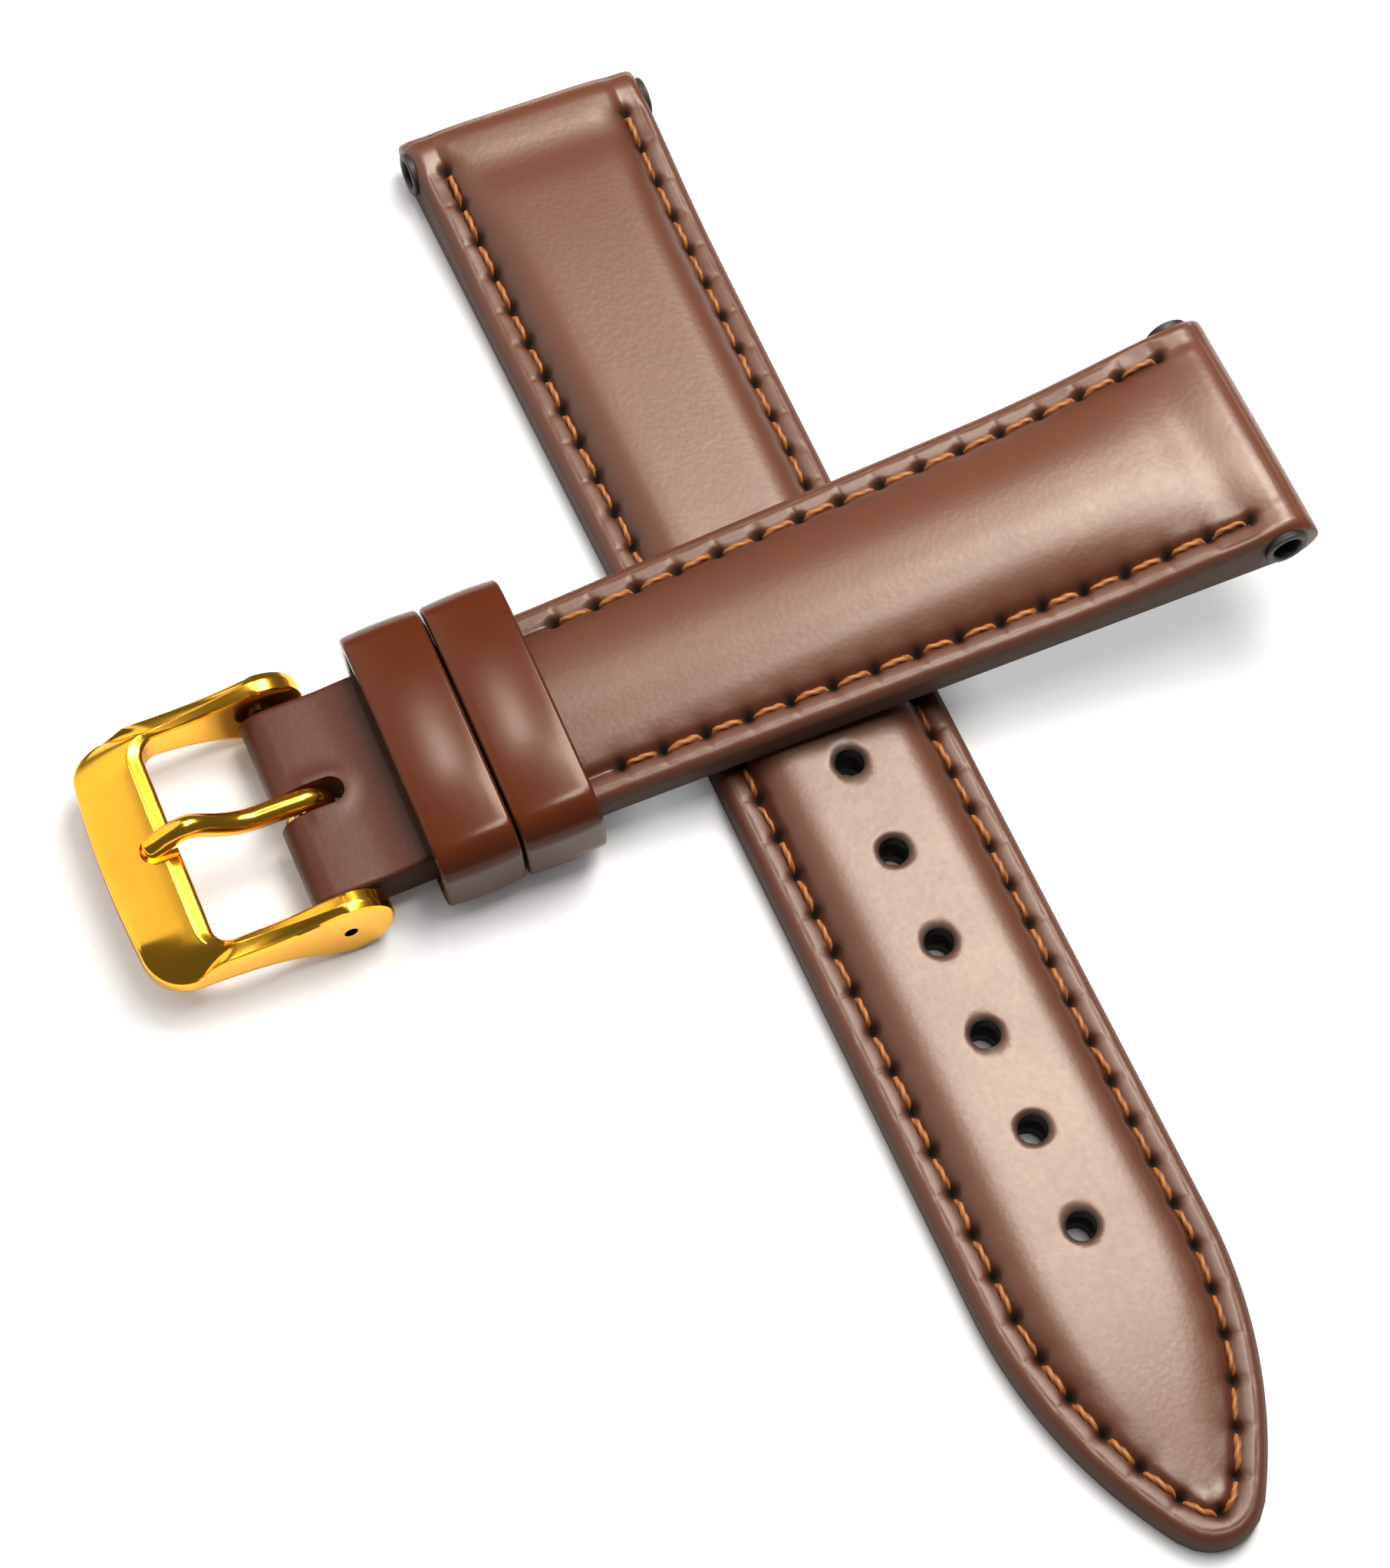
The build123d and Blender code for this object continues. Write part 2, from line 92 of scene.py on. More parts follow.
# World: warm light that grows towards one direction. The range is the cosine to it, from and to, and
# the strength there, from and to
WORLD_COLOUR = (1.0, 0.97, 0.93)
WORLD_BRIGHT = (-0.60, -0.60, 0.53)
WORLD_RANGE = (0.80, 0.855, 0.12, 1.3)
WHITE = (1.0, 1.0, 1.0)
TABLE_REACH = 1.2
TABLE_HEIGHT = -0.00005

# Near black of the holes and the leather's underside: painted shade, over the real edge paint of the hole walls
HOLE_PAINT_AND_SHADE = (0.008, 0.005, 0.004)
LEATHER_EDGE_PAINT_AND_SHADE = (0.010, 0.005, 0.004)

# Marks along each half with the crown's heights there, the rim's heights past the lug end and at the
# end, the padding's ends, and the crown's rise: how far from the row it's flat, and the power
LONG_SHAPE = {
    "places": (0.014, 0.0482, 0.096, 0.115),
    "crowns": (0.0048, 0.0040, 0.0032, 0.0032),
    "rims": (0.0028, 0.0022),
    "pad": (0.0065, 0.096),
    "flat": 0.0036,
    "power": 3.0,
}
SHORT_SHAPE = {
    "places": (0.014, 0.0348, 0.0615),
    "crowns": (0.0048, 0.0042, 0.0033),
    "rims": (0.0028, 0.0025),
    "pad": (0.0065, 0.052),
    "flat": 0.0068,
    "power": 2.6,
}

# Places along a half: ends of the taper and of the rim's first fall, start of the lining, end of the short
# half's leather and first adjusting hole. Then the rim's height at the lug end, the angle at which the
# rolled end starts, and how far the corners between marks are eased
TAPER = 0.050
LUG_FADE = 0.014
LINING_START = 0.006
BODY_END = 0.0615
FIRST_HOLE = 0.0585
RIM_AT_LUG = 0.0045
LUG_FACET = 0.1
EASE = 0.005

# Roundings of the leather's edge, the channel that the stitches lie in and the band beside the stitches, which is
# burnished and also darkened as painted shade
EDGE_ROUND = 0.00095
UNDER_ROUND = 0.0005
CHANNEL = 0.13 * MM
BURNISH_AND_SHADE_BAND = 0.0012

# Insets of the outer leather's rings: shares of the way from the middle line to the first of the
# insets round the stitch row, which are in millimetres from the outline
CROWN_SHARES = np.array(
    (0, 0.2, 0.4, 0.6, 0.8, 1.0, 1.15, 1.3, 1.5, 1.8, 2.3, 3.0, 3.7, 4.3, 4.8, 5.2, 5.5, 5.7)
) / 5.85
ROW_INSETS = (
    2.5, 2.34, 2.18, 2.06, 1.94, 1.82, 1.66, 1.5, 1.34, 1.18, 1.02,
    0.92, 0.84, 0.76, 0.68, 0.54, 0.4, 0.28, 0.17, 0.08, 0.02, 0,
)

# Gaps between the layers, so that none touches the next, half of the run over a step in height, and the
# roundings of the layers' edges
PAD_GAP = 0.0004
PAD_EDGE = 0.0002
PAD_END_GAP = 0.0001
PAD_SIDE_GAP = 0.00005
LAYER_GAP = 0.00003
LINING_END_GAP = 0.00002
STAY_TOP_GAP = 0.00001
STEP = 0.00001
LINING_ROUND = 0.0002
PAD_ROUND = 0.00008
STAY_ROUND = 0.00005

# Bar hole with its liner
BORE = 0.001
LINER_WALL = 0.0005
LINER_GAP = 0.00001
LINER_PROUD = 0.0003

# Keepers: place of the fixed one along the half, gap to the loose one and how much lower that lies, size
# inside, corner outside, rounding of the edges, dome and fall of the top, and the seam's groove and stitches
KEEPER_START = 0.05735
KEEPER_GAP = 0.00015
FREE_KEEPER_DROP = 0.0001
KEEPER_INSIDE = (0.017, 0.005)
KEEPER_CORNER = 0.0021
KEEPER_EDGE = 0.3 * MM
KEEPER_DOME = 0.1 * MM
KEEPER_SAG = 0.7 * MM
SEAM_GROOVE = 0.62 * MM
SEAM_STITCH = 1.6 * MM
SEAM_STEP = 2.6 * MM

# Folded end, and the tongue's slot in it: half of its width, how far behind the bar it ends and the middle
# of its arc
LOOP_RADIUS = 0.00165
LOOP_HALF = 0.0074
LOOP_EDGE = 0.42 * MM
BAR_FROM_LUG = 0.0694
SPRING_BAR_RADIUS = 0.0008
SLOT_HALF = 0.00098
SLOT_BEHIND = 0.0032
SLOT_END = BAR_FROM_LUG - SLOT_BEHIND + SLOT_HALF

# Buckle: axis and directions, then sizes from the spring bar's axis
BAR = np.array(JOINTS["buckle_swing"]["pos_m"])
FRAME_ACROSS = -np.array(JOINTS["buckle_swing"]["axis"])
FRAME_FORWARD = np.cross(FRAME_ACROSS, UP)
EAR = 0.0031
EAR_HOLE = 0.00045
FRAME_HALF = 0.0093
ARM = 0.0015
FRONT_INNER = 0.0084
FRONT_OUTER = 0.0135
FRONT_BOW = 0.0003
INNER_CORNER = 0.0012
OUTER_CORNER = 0.0029
FRAME_TOP = 0.0022
FRAME_BOTTOM = -0.0004
FRAME_FALL = 0.0034
FRAME_ROUND = 0.32 * MM
CREST = 0.00095
NOTCH_RADIUS = 0.00105
NOTCH_HEIGHT = 0.00245
NOTCH_REACH = 0.00255

# Tongue: wire, eye, and its middle line forward of and above the bar's axis, in millimetres
TONGUE_WIRE = 0.00078
TONGUE_EYE = 0.0016
TONGUE_LINE = (
    (0.1, 1.6), (1.6, 1.62), (3.9, 1.55), (5.6, 2.4), (7.3, 3.72), (8.4, 3.55), (9.5, 2.75), (10.5, 2.35),
)
TONGUE_END = (0.0105, 0.00236)

# Coil in the spring bar
COIL_HALF = 0.00542
COIL_PITCH = 0.00075
COIL_RADIUS = 0.0004
COIL_WIRE = 0.00008


def length(label, words, value):
    """Length property of the sizes."""
    return FloatProperty(name=label, description=words, default=value, min=0, precision=5, unit="LENGTH")


def paint(label, words, value):
    """Colour property, in linear values."""
    return FloatVectorProperty(
        name=label, description=words, default=value, size=3, min=0, max=1, subtype="COLOR"
    )


class StrapSizes(bpy.types.PropertyGroup):
    """Sizes of the leather and its stitches."""

    lug_width: length("Lug width", "Width between the watch's lugs", 0.018)
    roll: length("Lug roll", "Radius of the rolled lug ends", 0.0024)
    row_inset: length("Stitch inset", "From the edge to the stitches", 0.002)
    pitch: length("Stitch pitch", "From one stitch to the next", 0.003)
    first_pit: length("First stitch hole", "From the lug end to the first stitch hole", 0.0041)
    thread: length("Thread", "Radius of the thread", 0.00021)
    groove: length("Groove", "How far the stitches lie below the rim", 0.00014)
    pit_depth: length("Stitch hole depth", "How deep the stitches pull the leather in", 0.0008)
    skin: length("Leather", "Thickness of the outer leather over the padding", 0.0012)
    lining: length("Lining", "Thickness of the lining", 0.0009)
    lining_inset: length("Lining inset", "Width of the turned edge round the lining", 0.001)
    stay: length("Stay tape", "Thickness of the tape on the lining", 0.00025)
    long_length: length("Long half", "Length of the holed half", 0.115)
    long_width: length("Long half's width", "Width of the holed half past its taper", 0.0166)
    short_width: length("Short half's width", "Width of the buckle half past its taper", 0.0155)
    side_radius: length("Side arc", "Radius of the long sides of the pointed end", 0.033)
    tip_radius: length("Tip arc", "Radius of the very tip", 0.0035)
    hole: length("Hole", "Radius of the adjusting holes", 0.001)
    hole_pitch: length("Hole pitch", "From one adjusting hole to the next", 0.007)
    holes: IntProperty(name="Holes", description="Number of adjusting holes", default=6, min=1)
    keeper_width: length("Keeper width", "Width of each keeper along the strap", 0.0055)
    keeper_wall: length("Keeper leather", "Thickness of the keepers", 0.0012)


class StrapColours(bpy.types.PropertyGroup):
    """Colours of the finishes."""

    leather: paint("Leather", "Brown of the outer leather", (0.105, 0.031, 0.013))
    # Also painted shade: beside the stitches where the crown's flanks turn from the light, and at the rim and the
    # side walls
    leather_burnish_and_shade: paint("Leather, deep", "Burnished brown beside the stitches", (0.052, 0.010, 0.004))
    keeper: paint("Keepers", "Red-brown of the keepers", (0.088, 0.018, 0.005))
    loop: paint("Loop", "Plum brown of the folded end", (0.078, 0.021, 0.013))
    lining: paint("Lining", "Near black of the lining", (0.012, 0.010, 0.010))
    thread: paint("Thread", "Amber of the thread", (0.43, 0.15, 0.016))
    # Painted shade between the plies of the thread
    thread_ply_shade: paint("Thread, deep", "Between the plies of the thread", (0.17, 0.04, 0.01))
    foam: paint("Padding", "Off-white of the padding", (0.62, 0.58, 0.5))
    tape: paint("Stay tape", "White of the stay tape", (0.7, 0.69, 0.66))
    gold: paint("Gold", "Colour of the plated metal", (1.0, 0.56, 0.055))
    steel: paint("Steel", "Colour of the spring bar's ends", (0.55, 0.55, 0.56))
    floor: paint("Floor", "Colour of the table", (0.8, 0.8, 0.8))


def sizes():
    """Sizes that the user can change."""
    return bpy.context.scene.strap_sizes


def colours():
    """Colours that the user can change."""
    return bpy.context.scene.strap_colours


# Curves
def bell(value, width):
    """Bell curve, 1 in the middle and small beyond the width."""
    return np.exp(-((value / width) ** 2))


def smooth(value):
    """Smooth step from 0 to 1."""
    value = np.clip(value, 0, 1)
    return value * value * (3 - 2 * value)


def arc(value):
    """Quarter circle that rises upright at 0 and is flat at 1."""
    return np.sqrt(1 - (1 - np.clip(value, 0, 1)) ** 2)


def eased(x, places, values):
    """Line through marks whose corners are eased: the mean of the plain line over a few millimetres."""
    offsets = EASE * np.linspace(-1, 1, 9)
    weights = 1 - np.abs(offsets) / (1.2 * EASE)
    weights = weights / weights.sum()
    return sum(w * np.interp(np.asarray(x, float) + o, places, values) for w, o in zip(weights, offsets))


def unit(vectors):
    """Vectors of length 1, along the last axis."""
    return vectors / np.linalg.norm(vectors, axis=-1, keepdims=True)


def between(first, last, shares):
    """Steps from one row of values or points to another, at the given shares, on a second axis."""
    shares = shares.reshape(-1, *[1] * (first.ndim - 1))
    return first[:, None] + (last - first)[:, None] * shares


class Half:
    """One half of the strap: its frame, its outline and its heights."""

    def __init__(self, name, body, along, across, width, places, crowns, rims, pad, flat, power):
        self.name, self.body = name, body
        self.along, self.across = np.array(along, float), np.array(across, float)
        self.up = np.cross(self.along, self.across)
        self.origin = np.array(MOUNTS[body + "_bar_hole"]["pos_m"]) - sizes().roll * (self.along + self.up)
        self.half_width = width / 2
        self.places, self.crowns, self.rims, self.pad = places, crowns, rims, pad
        self.flat, self.power = flat, power
        self.pointed, self.end = False, BODY_END

    def put(self, x, y, z):
        """Points of the half's own coordinates, placed in the frame."""
        x, y, z = np.broadcast_arrays(x, y, z)
        return self.origin + x[..., None] * self.along + y[..., None] * self.across + z[..., None] * self.up

    def width_at(self, x):
        """Half of the width of the straight taper."""
        return np.interp(x, (0, TAPER), (sizes().lug_width / 2, self.half_width))

    def rim(self, x):
        """Height of the rim: falls from the rolled lug end, then slowly to the end."""
        return eased(x, (sizes().roll, LUG_FADE, self.places[-1]), (RIM_AT_LUG, *self.rims))

    def crown(self, x):
        """Height of the middle line, through the padding's marks."""
        return eased(x, self.places, self.crowns)

    def outline(self, run):
        """Outline point, inward direction and depth to the middle line, for distances along the stitch row.

        Up to the side arc the outline is the straight taper. On an arc of radius R about a centre, the
        distance along the row turns by distance / (R - inset).
        """
        s = sizes()
        run = np.asarray(run, float)
        x, y = run.copy(), self.width_at(run)
        inward_x, inward_y, depth = np.zeros_like(run), -np.ones_like(run), y.copy()
        if self.pointed:
            side_row, tip_row = s.side_radius - s.row_inset, s.tip_radius - s.row_inset
            turn = (run - self.side_start) / side_row
            side = (turn > 0) & (turn <= self.tip_angle)
            past = turn > self.tip_angle
            turn = np.where(past, self.tip_angle + (turn - self.tip_angle) * (side_row / tip_row), turn)
            inward_x = np.where(side | past, -np.sin(turn), inward_x)
            inward_y = np.where(side | past, -np.cos(turn), inward_y)
            x = np.where(side, self.side_start + s.side_radius * np.sin(turn), x)
            y = np.where(side, s.side_radius * np.cos(turn) - self.drop, y)
            depth = np.where(side, s.side_radius - self.drop / np.cos(turn), depth)
            x = np.where(past, self.tip_centre + s.tip_radius * np.sin(turn), x)
            y = np.where(past, s.tip_radius * np.cos(turn), y)
            depth = np.where(past, s.tip_radius, depth)
        return x, y, inward_x, inward_y, depth

    def point_end(self, whole):
        """Gives the half its pointed end: two side arcs that the tip arc joins."""
        s = sizes()
        small_to_large = s.side_radius - s.tip_radius
        self.tip_centre = whole - s.tip_radius
        self.drop = s.side_radius - self.half_width
        self.side_start = self.tip_centre - sqrt(small_to_large**2 - self.drop**2)
        self.tip_angle = asin((self.tip_centre - self.side_start) / small_to_large)
        self.bend = self.side_start + (s.side_radius - s.row_inset) * self.tip_angle
        self.end = self.bend + (s.tip_radius - s.row_inset) * (pi / 2 - self.tip_angle)
        self.pointed = True


def make_halves():
    """The long and the short half."""
    s = sizes()
    tail = Half("tail", "long_half", (1, 0, 0), (0, 1, 0), s.long_width, **LONG_SHAPE)
    tail.point_end(s.long_length)
    tail.pits = np.append(np.arange(s.first_pit, tail.end - 0.5 * s.pitch, s.pitch), tail.end)
    along, across = (-np.array(JOINTS[name]["axis"]) for name in ("free_keeper_slide", "buckle_swing"))
    head = Half("head", "short_half", along, across, s.short_width, **SHORT_SHAPE)
    head.pits = np.arange(s.first_pit, KEEPER_START - s.keeper_width, s.pitch)
    return tail, head


# Meshes
def grid_quads(rows, columns, around=False, endless=False):
    """Quads of a grid of points stored row by row, closed round its columns or its rows if asked."""
    row, column = np.arange(rows - (not endless))[:, None], np.arange(columns - (not around))
    here, after, beside = row * columns, (row + 1) % rows * columns, (column + 1) % columns
    return np.stack((here + column, here + beside, after + beside, after + column), -1).reshape(-1, 4)


def end_rings(rows, columns):
    """First and last ring of a grid."""
    return [np.arange(columns), np.arange(columns) + (rows - 1) * columns]


def add_piece(name, points, quads, rings=(), merge=MERGE, sharp=None):
    """Mesh object from points, quads and flat end rings, with doubles merged and faces turned outwards."""
    mesh = bpy.data.meshes.new(name)
    points = np.asarray(points, np.float64).reshape(-1, 3)
    corners = np.concatenate([np.asarray(quads).ravel(), *rings]).astype(np.int32)
    totals = np.concatenate([np.full(len(quads), 4), [len(ring) for ring in rings]]).astype(np.int32)
    starts = np.concatenate([[0], np.cumsum(totals)[:-1]]).astype(np.int32)
    mesh.vertices.add(len(points))
    mesh.vertices.foreach_set("co", points.astype(np.float32).ravel())
    mesh.loops.add(len(corners))
    mesh.loops.foreach_set("vertex_index", corners)
    mesh.polygons.add(len(totals))
    mesh.polygons.foreach_set("loop_start", starts)
    mesh.update(calc_edges=True)
    mesh.validate()
    edit = bmesh.new()
    edit.from_mesh(mesh)
    bmesh.ops.remove_doubles(edit, verts=edit.verts, dist=merge)
    bmesh.ops.dissolve_degenerate(edit, edges=edit.edges, dist=merge / 10)
    bmesh.ops.recalc_face_normals(edit, faces=edit.faces)
    edit.to_mesh(mesh)
    edit.free()
    shade(mesh, sharp)
    made = bpy.data.objects.new(name, mesh)
    bpy.context.scene.collection.objects.link(made)
    return made


def shade(mesh, sharp=None):
    """Smooth faces, with edges over the given angle left sharp."""
    mesh.polygons.foreach_set("use_smooth", np.ones(len(mesh.polygons), bool))
    if sharp is not None:
        mesh.set_sharp_from_angle(angle=radians(sharp))


def cut(piece, cutters, sharp=40):
    """Cuts closed shapes out of a piece and leaves one plain mesh."""
    tool = add_piece("cutter", *joined(cutters))
    modifier = piece.modifiers.new("cut", "BOOLEAN")
    modifier.operation = "DIFFERENCE"
    modifier.solver = "EXACT"
    modifier.object = tool
    bpy.context.view_layer.update()
    evaluated = piece.evaluated_get(bpy.context.evaluated_depsgraph_get())
    mesh = bpy.data.meshes.new_from_object(evaluated)
    piece.modifiers.clear()
    piece.data = mesh
    bpy.data.objects.remove(tool)
    shade(mesh, sharp)
    return piece


def joined(parts):
    """Points and quads of several grids as one, with their end rings."""
    points, quads, rings, offset = [], [], [], 0
    for part_points, part_quads, part_rings in parts:
        points.append(np.asarray(part_points).reshape(-1, 3))
        quads.append(part_quads + offset)
        rings += [ring + offset for ring in part_rings]
        offset += len(points[-1])
    return np.concatenate(points), np.concatenate(quads), rings


def ring_about(line, first, second, radii):
    """Rings of points about a line, turned from the first directions towards the second."""
    turn = np.linspace(0, 2 * pi, radii.shape[-1], endpoint=False)[:, None]
    ring = np.cos(turn) * first[..., None, :] + np.sin(turn) * second[..., None, :]
    return line[..., None, :] + radii[..., None] * ring


def tube(path, normal, side, radii, around):
    """Closed tube: rings of the given radii about a path, in its normal and side directions."""
    radii = np.asarray(radii, float).reshape(len(path), -1) * np.ones(around)
    points = ring_about(path, normal, side, radii)
    return points, grid_quads(len(path), around, True), end_rings(len(path), around)


def pin(start, axis, radius, reach, around=48, dome_steps=0):
    """Straight closed tube from a point along an axis, for cutting holes; its far end may be domed."""
    axis = unit(axis)
    side = unit(np.cross(axis, UP if abs(axis[2]) < 0.9 else np.array((1.0, 0, 0))))
    dome = np.linspace(0, pi / 2, dome_steps)[1:-1]
    places = np.concatenate([[0.0, reach], reach + radius * np.sin(dome)])
    radii = np.concatenate([[radius, radius], radius * np.cos(dome)])
    return tube(start + places[:, None] * axis, side, np.cross(axis, side), radii, around)


def dress(piece, material, body, node):
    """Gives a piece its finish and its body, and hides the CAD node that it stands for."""
    piece.data.materials.clear()
    piece.data.materials.append(material)
    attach(piece, body)
    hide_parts(node)
    return piece


def mark(mesh, **numbers):
    """Numbers at each point of a mesh, for its material."""
    for name, values in numbers.items():
        mesh.attributes.new(name, "FLOAT", "POINT").data.foreach_set("value", np.asarray(values, np.float32))


def local_points(half, mesh):
    """A mesh's points in the coordinates of a half."""
    points = np.zeros(len(mesh.vertices) * 3, np.float32)
    mesh.vertices.foreach_get("co", points)
    away = points.reshape(-1, 3).astype(float) - half.origin
    return away @ half.along, away @ half.across, away @ half.up


# Outer leather
def inset_of(half, x, y):
    """Distance of points from the outline, measured inwards."""
    s = sizes()
    y = np.abs(y)
    inset = half.width_at(x) - y
    if half.pointed:
        to_side = s.side_radius - np.hypot(x - half.side_start, y + half.drop)
        to_tip = s.tip_radius - np.hypot(x - half.tip_centre, y)
        in_tip = (x > half.tip_centre) & (y < (x - half.tip_centre) / np.tan(half.tip_angle))
        inset = np.where(x > half.side_start, np.where(in_tip, to_tip, to_side), inset)
    return inset


def hole_places(half):
    """Places of the adjusting holes along the long half."""
    s = sizes()
    return FIRST_HOLE + s.hole_pitch * np.arange(s.holes) if half.pointed else np.array([])


def hole_pins(half):
    """Pins that cut the adjusting holes, from below the strap to above it."""
    radius = sizes().hole
    return [pin(half.put(place, 0.0, -2 * MM), half.up, radius, 10 * MM) for place in hole_places(half)]


def near_holes(half, x, y, reach, fade):
    """1 in and round the adjusting holes, 0 from a reach that is given in their radii."""
    near = np.zeros_like(x)
    for place in hole_places(half):
        near = np.maximum(near, smooth((reach - np.hypot(x - place, y) / sizes().hole) / fade))
    return near


def stitch_phase(half, run):
    """Signed distance along the row from the nearest stitch hole."""
    after = np.clip(np.searchsorted(half.pits, run), 1, len(half.pits) - 1)
    low, high = run - half.pits[after - 1], run - half.pits[after]
    return np.where(np.abs(low) < np.abs(high), low, high)


def run_of(half, x, y):
    """Distance along the stitch row of points given by place."""
    s = sizes()
    if not half.pointed:
        return x
    turn = np.arctan2(x - half.side_start, np.abs(y) + half.drop)
    tip_turn = np.arctan2(x - half.tip_centre, np.abs(y))
    side = half.side_start + (s.side_radius - s.row_inset) * turn
    tip = half.bend + (s.tip_radius - s.row_inset) * (tip_turn - half.tip_angle)
    in_tip = (x > half.tip_centre) & (tip_turn > half.tip_angle)
    return np.where(x > half.side_start, np.where(in_tip, tip, side), x)


def leather_top(half, run, x, y, inset, depth):
    """Height of the outer leather.

    Outside the stitch row: a rim that rounds over at the edge and dips to the row. Inside it: a crown that
    rises as 1 - (1 - t)^power, with t the way from the row to where it's flat or to the middle line, and
    falls towards the point with the strap's width. Stitch holes, puckers between them, a channel along the
    row, creases and dimples round the adjusting holes are bell curves taken off that.
    """
    s = sizes()
    dip = s.groove * smooth((run - 0.4 * s.first_pit) / (0.8 * s.first_pit))
    groove = half.rim(run) - dip
    reach = half.width_at(x)
    if half.pointed:
        ahead = np.maximum(x - half.side_start, 0)
        reach = np.where(ahead > 0, s.side_radius - np.hypot(half.drop, ahead), reach)
    full = half.half_width - s.row_inset
    fall = (np.clip(reach - s.row_inset, s.tip_radius - s.row_inset, full) / full) ** 1.3
    from_row = inset - s.row_inset
    share = np.clip(from_row / np.minimum(depth - s.row_inset, half.flat), 0, 1)
    inside = groove + (half.crown(x) - groove) * fall * (1 - (1 - share) ** half.power)
    outside = groove + dip * smooth(-from_row / (0.6 * s.row_inset))
    height = np.where(from_row > 0, inside, outside) - EDGE_ROUND * (1 - arc(inset / EDGE_ROUND))
    phase = stitch_phase(half, run)
    started = smooth((run - s.first_pit + 0.4 * MM) / (0.8 * MM))
    apart = 0.5 - 0.5 * np.cos(2 * pi * np.clip(np.abs(phase) / s.pitch, 0, 1))
    wave = np.sin(run * 2400) * np.sin(run * 917 + 1)
    # stitch holes, channel and puckers
    height -= s.pit_depth * bell(phase, 0.36 * MM) * bell(from_row, 0.32 * MM)
    height -= CHANNEL * bell(from_row, 0.3 * MM) * started
    height += 0.05 * MM * apart * bell(from_row - 0.7 * MM, 0.4 * MM)
    # creases across the rim, along it and at the lug end, and the hollow behind the bar hole
    height -= 0.06 * MM * bell(phase - 0.35 * MM * wave, 0.2 * MM) * bell(from_row + 0.75 * MM, 0.35 * MM)
    height -= 0.05 * MM * bell(inset - 0.8 * MM, 0.12 * MM) * (0.6 + 0.4 * wave) * started
    height -= 0.06 * MM * bell(x - 0.95 * MM, 0.14 * MM)
    height -= 0.26 * MM * bell(x - 5.4 * MM, 1.9 * MM) * smooth((inset - 0.3 * MM) / (0.8 * MM))
    for place in hole_places(half):
        height -= 0.3 * MM * bell(np.hypot(x - place, y) - s.hole + 0.15 * MM, 0.3 * MM)
    return height


def pad_top(half, x, inset, depth):
    """Height of the padding: a low arc under the leather."""
    s = sizes()
    edge = s.lining + s.stay + PAD_EDGE
    share = np.clip((inset - s.row_inset - PAD_GAP) / (depth - s.row_inset - PAD_GAP), 0, 1)
    return edge + (half.crown(x) - s.skin - edge) * (1 - (1 - share) ** 2)


def leather_under(half, x, inset, depth):
    """Height of the leather's underside: turned edge, seat of the lining and hollow for the padding."""
    s = sizes()
    height = np.where((inset > s.lining_inset) & (x > LINING_START), s.lining, 0.0)
    padded = (inset > s.row_inset + PAD_GAP) & (x > half.pad[0]) & (x < half.pad[1])
    return np.where(padded, pad_top(half, x, inset, depth), height)


def stations(half, start, end):
    """Distances along the stitch row: close together at the stitch holes, and at the rolled lug end."""
    s = sizes()
    roll = s.roll * (1 - np.cos(np.linspace(LUG_FACET, pi / 2, 12)))
    pits = np.concatenate([half.pits[:1] - s.pitch, half.pits, half.pits[-1:] + s.pitch])
    steps = np.array((-1.5, -1.0, -0.62, -0.4, -0.25, -0.12, 0, 0.12, 0.25, 0.4, 0.62, 1.0)) * MM
    extra = [x + d for x in (LINING_START, *half.pad) for d in (-2 * STEP, 2 * STEP)]
    fill = [] if half.pointed else np.arange(s.roll, end, 0.9 * MM)
    every = np.concatenate([roll, (pits[:, None] + steps).ravel(), extra, fill, [start, end]])
    every = np.unique(np.round(every[(every >= start) & (every <= end)], 7))
    return every[np.concatenate([[True], np.diff(every) > 3 * STEP])]


def half_sheets(half, run, inset, height, closed_tip):
    """Both sides of a shell: each ring runs from the middle line over the edge and back underneath."""
    x, y, inward_x, inward_y, _ = (value[:, None] for value in half.outline(run))
    along, across = x + inward_x * inset, y + inward_y * inset
    quads, caps = grid_quads(*inset.shape), end_rings(*inset.shape)[: 1 if closed_tip else 2]
    return joined([(half.put(along, side * across, height), quads, caps) for side in (1, -1)])


def outer_leather(name, half):
    """Outer leather of a half, as one closed skin with its holes.

    Each ring goes by its inset from the outline: crown, row, rim, side, turned edge and hollow. Near the
    lug end the heights close on the roll's axis as a circle does.
    """
    s = sizes()
    run = stations(half, s.roll * (1 - cos(LUG_FACET)), half.end)
    x, y, inward_x, inward_y, depth = (value[:, None] for value in half.outline(run))
    every = (len(run), 1)
    row = np.array(ROW_INSETS) * MM
    top = np.concatenate([depth - CROWN_SHARES * (depth - row[0]), np.tile(row, every)], 1)
    top_z = leather_top(half, run[:, None], x + inward_x * top, y + inward_y * top, top, depth)
    side_z = top_z[:, -1:] + (UNDER_ROUND - top_z[:, -1:]) * np.array((0.33, 0.67))
    curl = np.linspace(0, pi / 2, 6)
    curl_inset, curl_z = (np.tile(UNDER_ROUND * (1 - way), every) for way in (np.cos(curl), np.sin(curl)))
    seat, hollow = s.lining_inset, s.row_inset + PAD_GAP
    fixed = np.array((0.8 * MM, seat - STEP, seat + STEP, 1.7 * MM, hollow - STEP, hollow + STEP))
    shares = np.array((0.15, 0.35, 0.6, 0.8, 1))
    under = np.concatenate([np.tile(fixed, every), hollow + shares * (depth - hollow)], 1)
    under_z = leather_under(half, x + inward_x * under, under, depth)
    inset = np.concatenate([top, np.zeros((len(run), 2)), curl_inset, under], 1)
    height = np.concatenate([top_z, side_z, curl_z, under_z], 1)
    height = s.roll + (height - s.roll) * arc(run / s.roll)[:, None]
    made = add_piece(name, *half_sheets(half, run, inset, height, half.pointed))
    bore = pin(half.put(s.roll, -s.lug_width, s.roll), half.across, BORE + LINER_WALL, 2 * s.lug_width)
    cut(made, [bore, *hole_pins(half)])
    mark_leather(half, made.data)
    return made


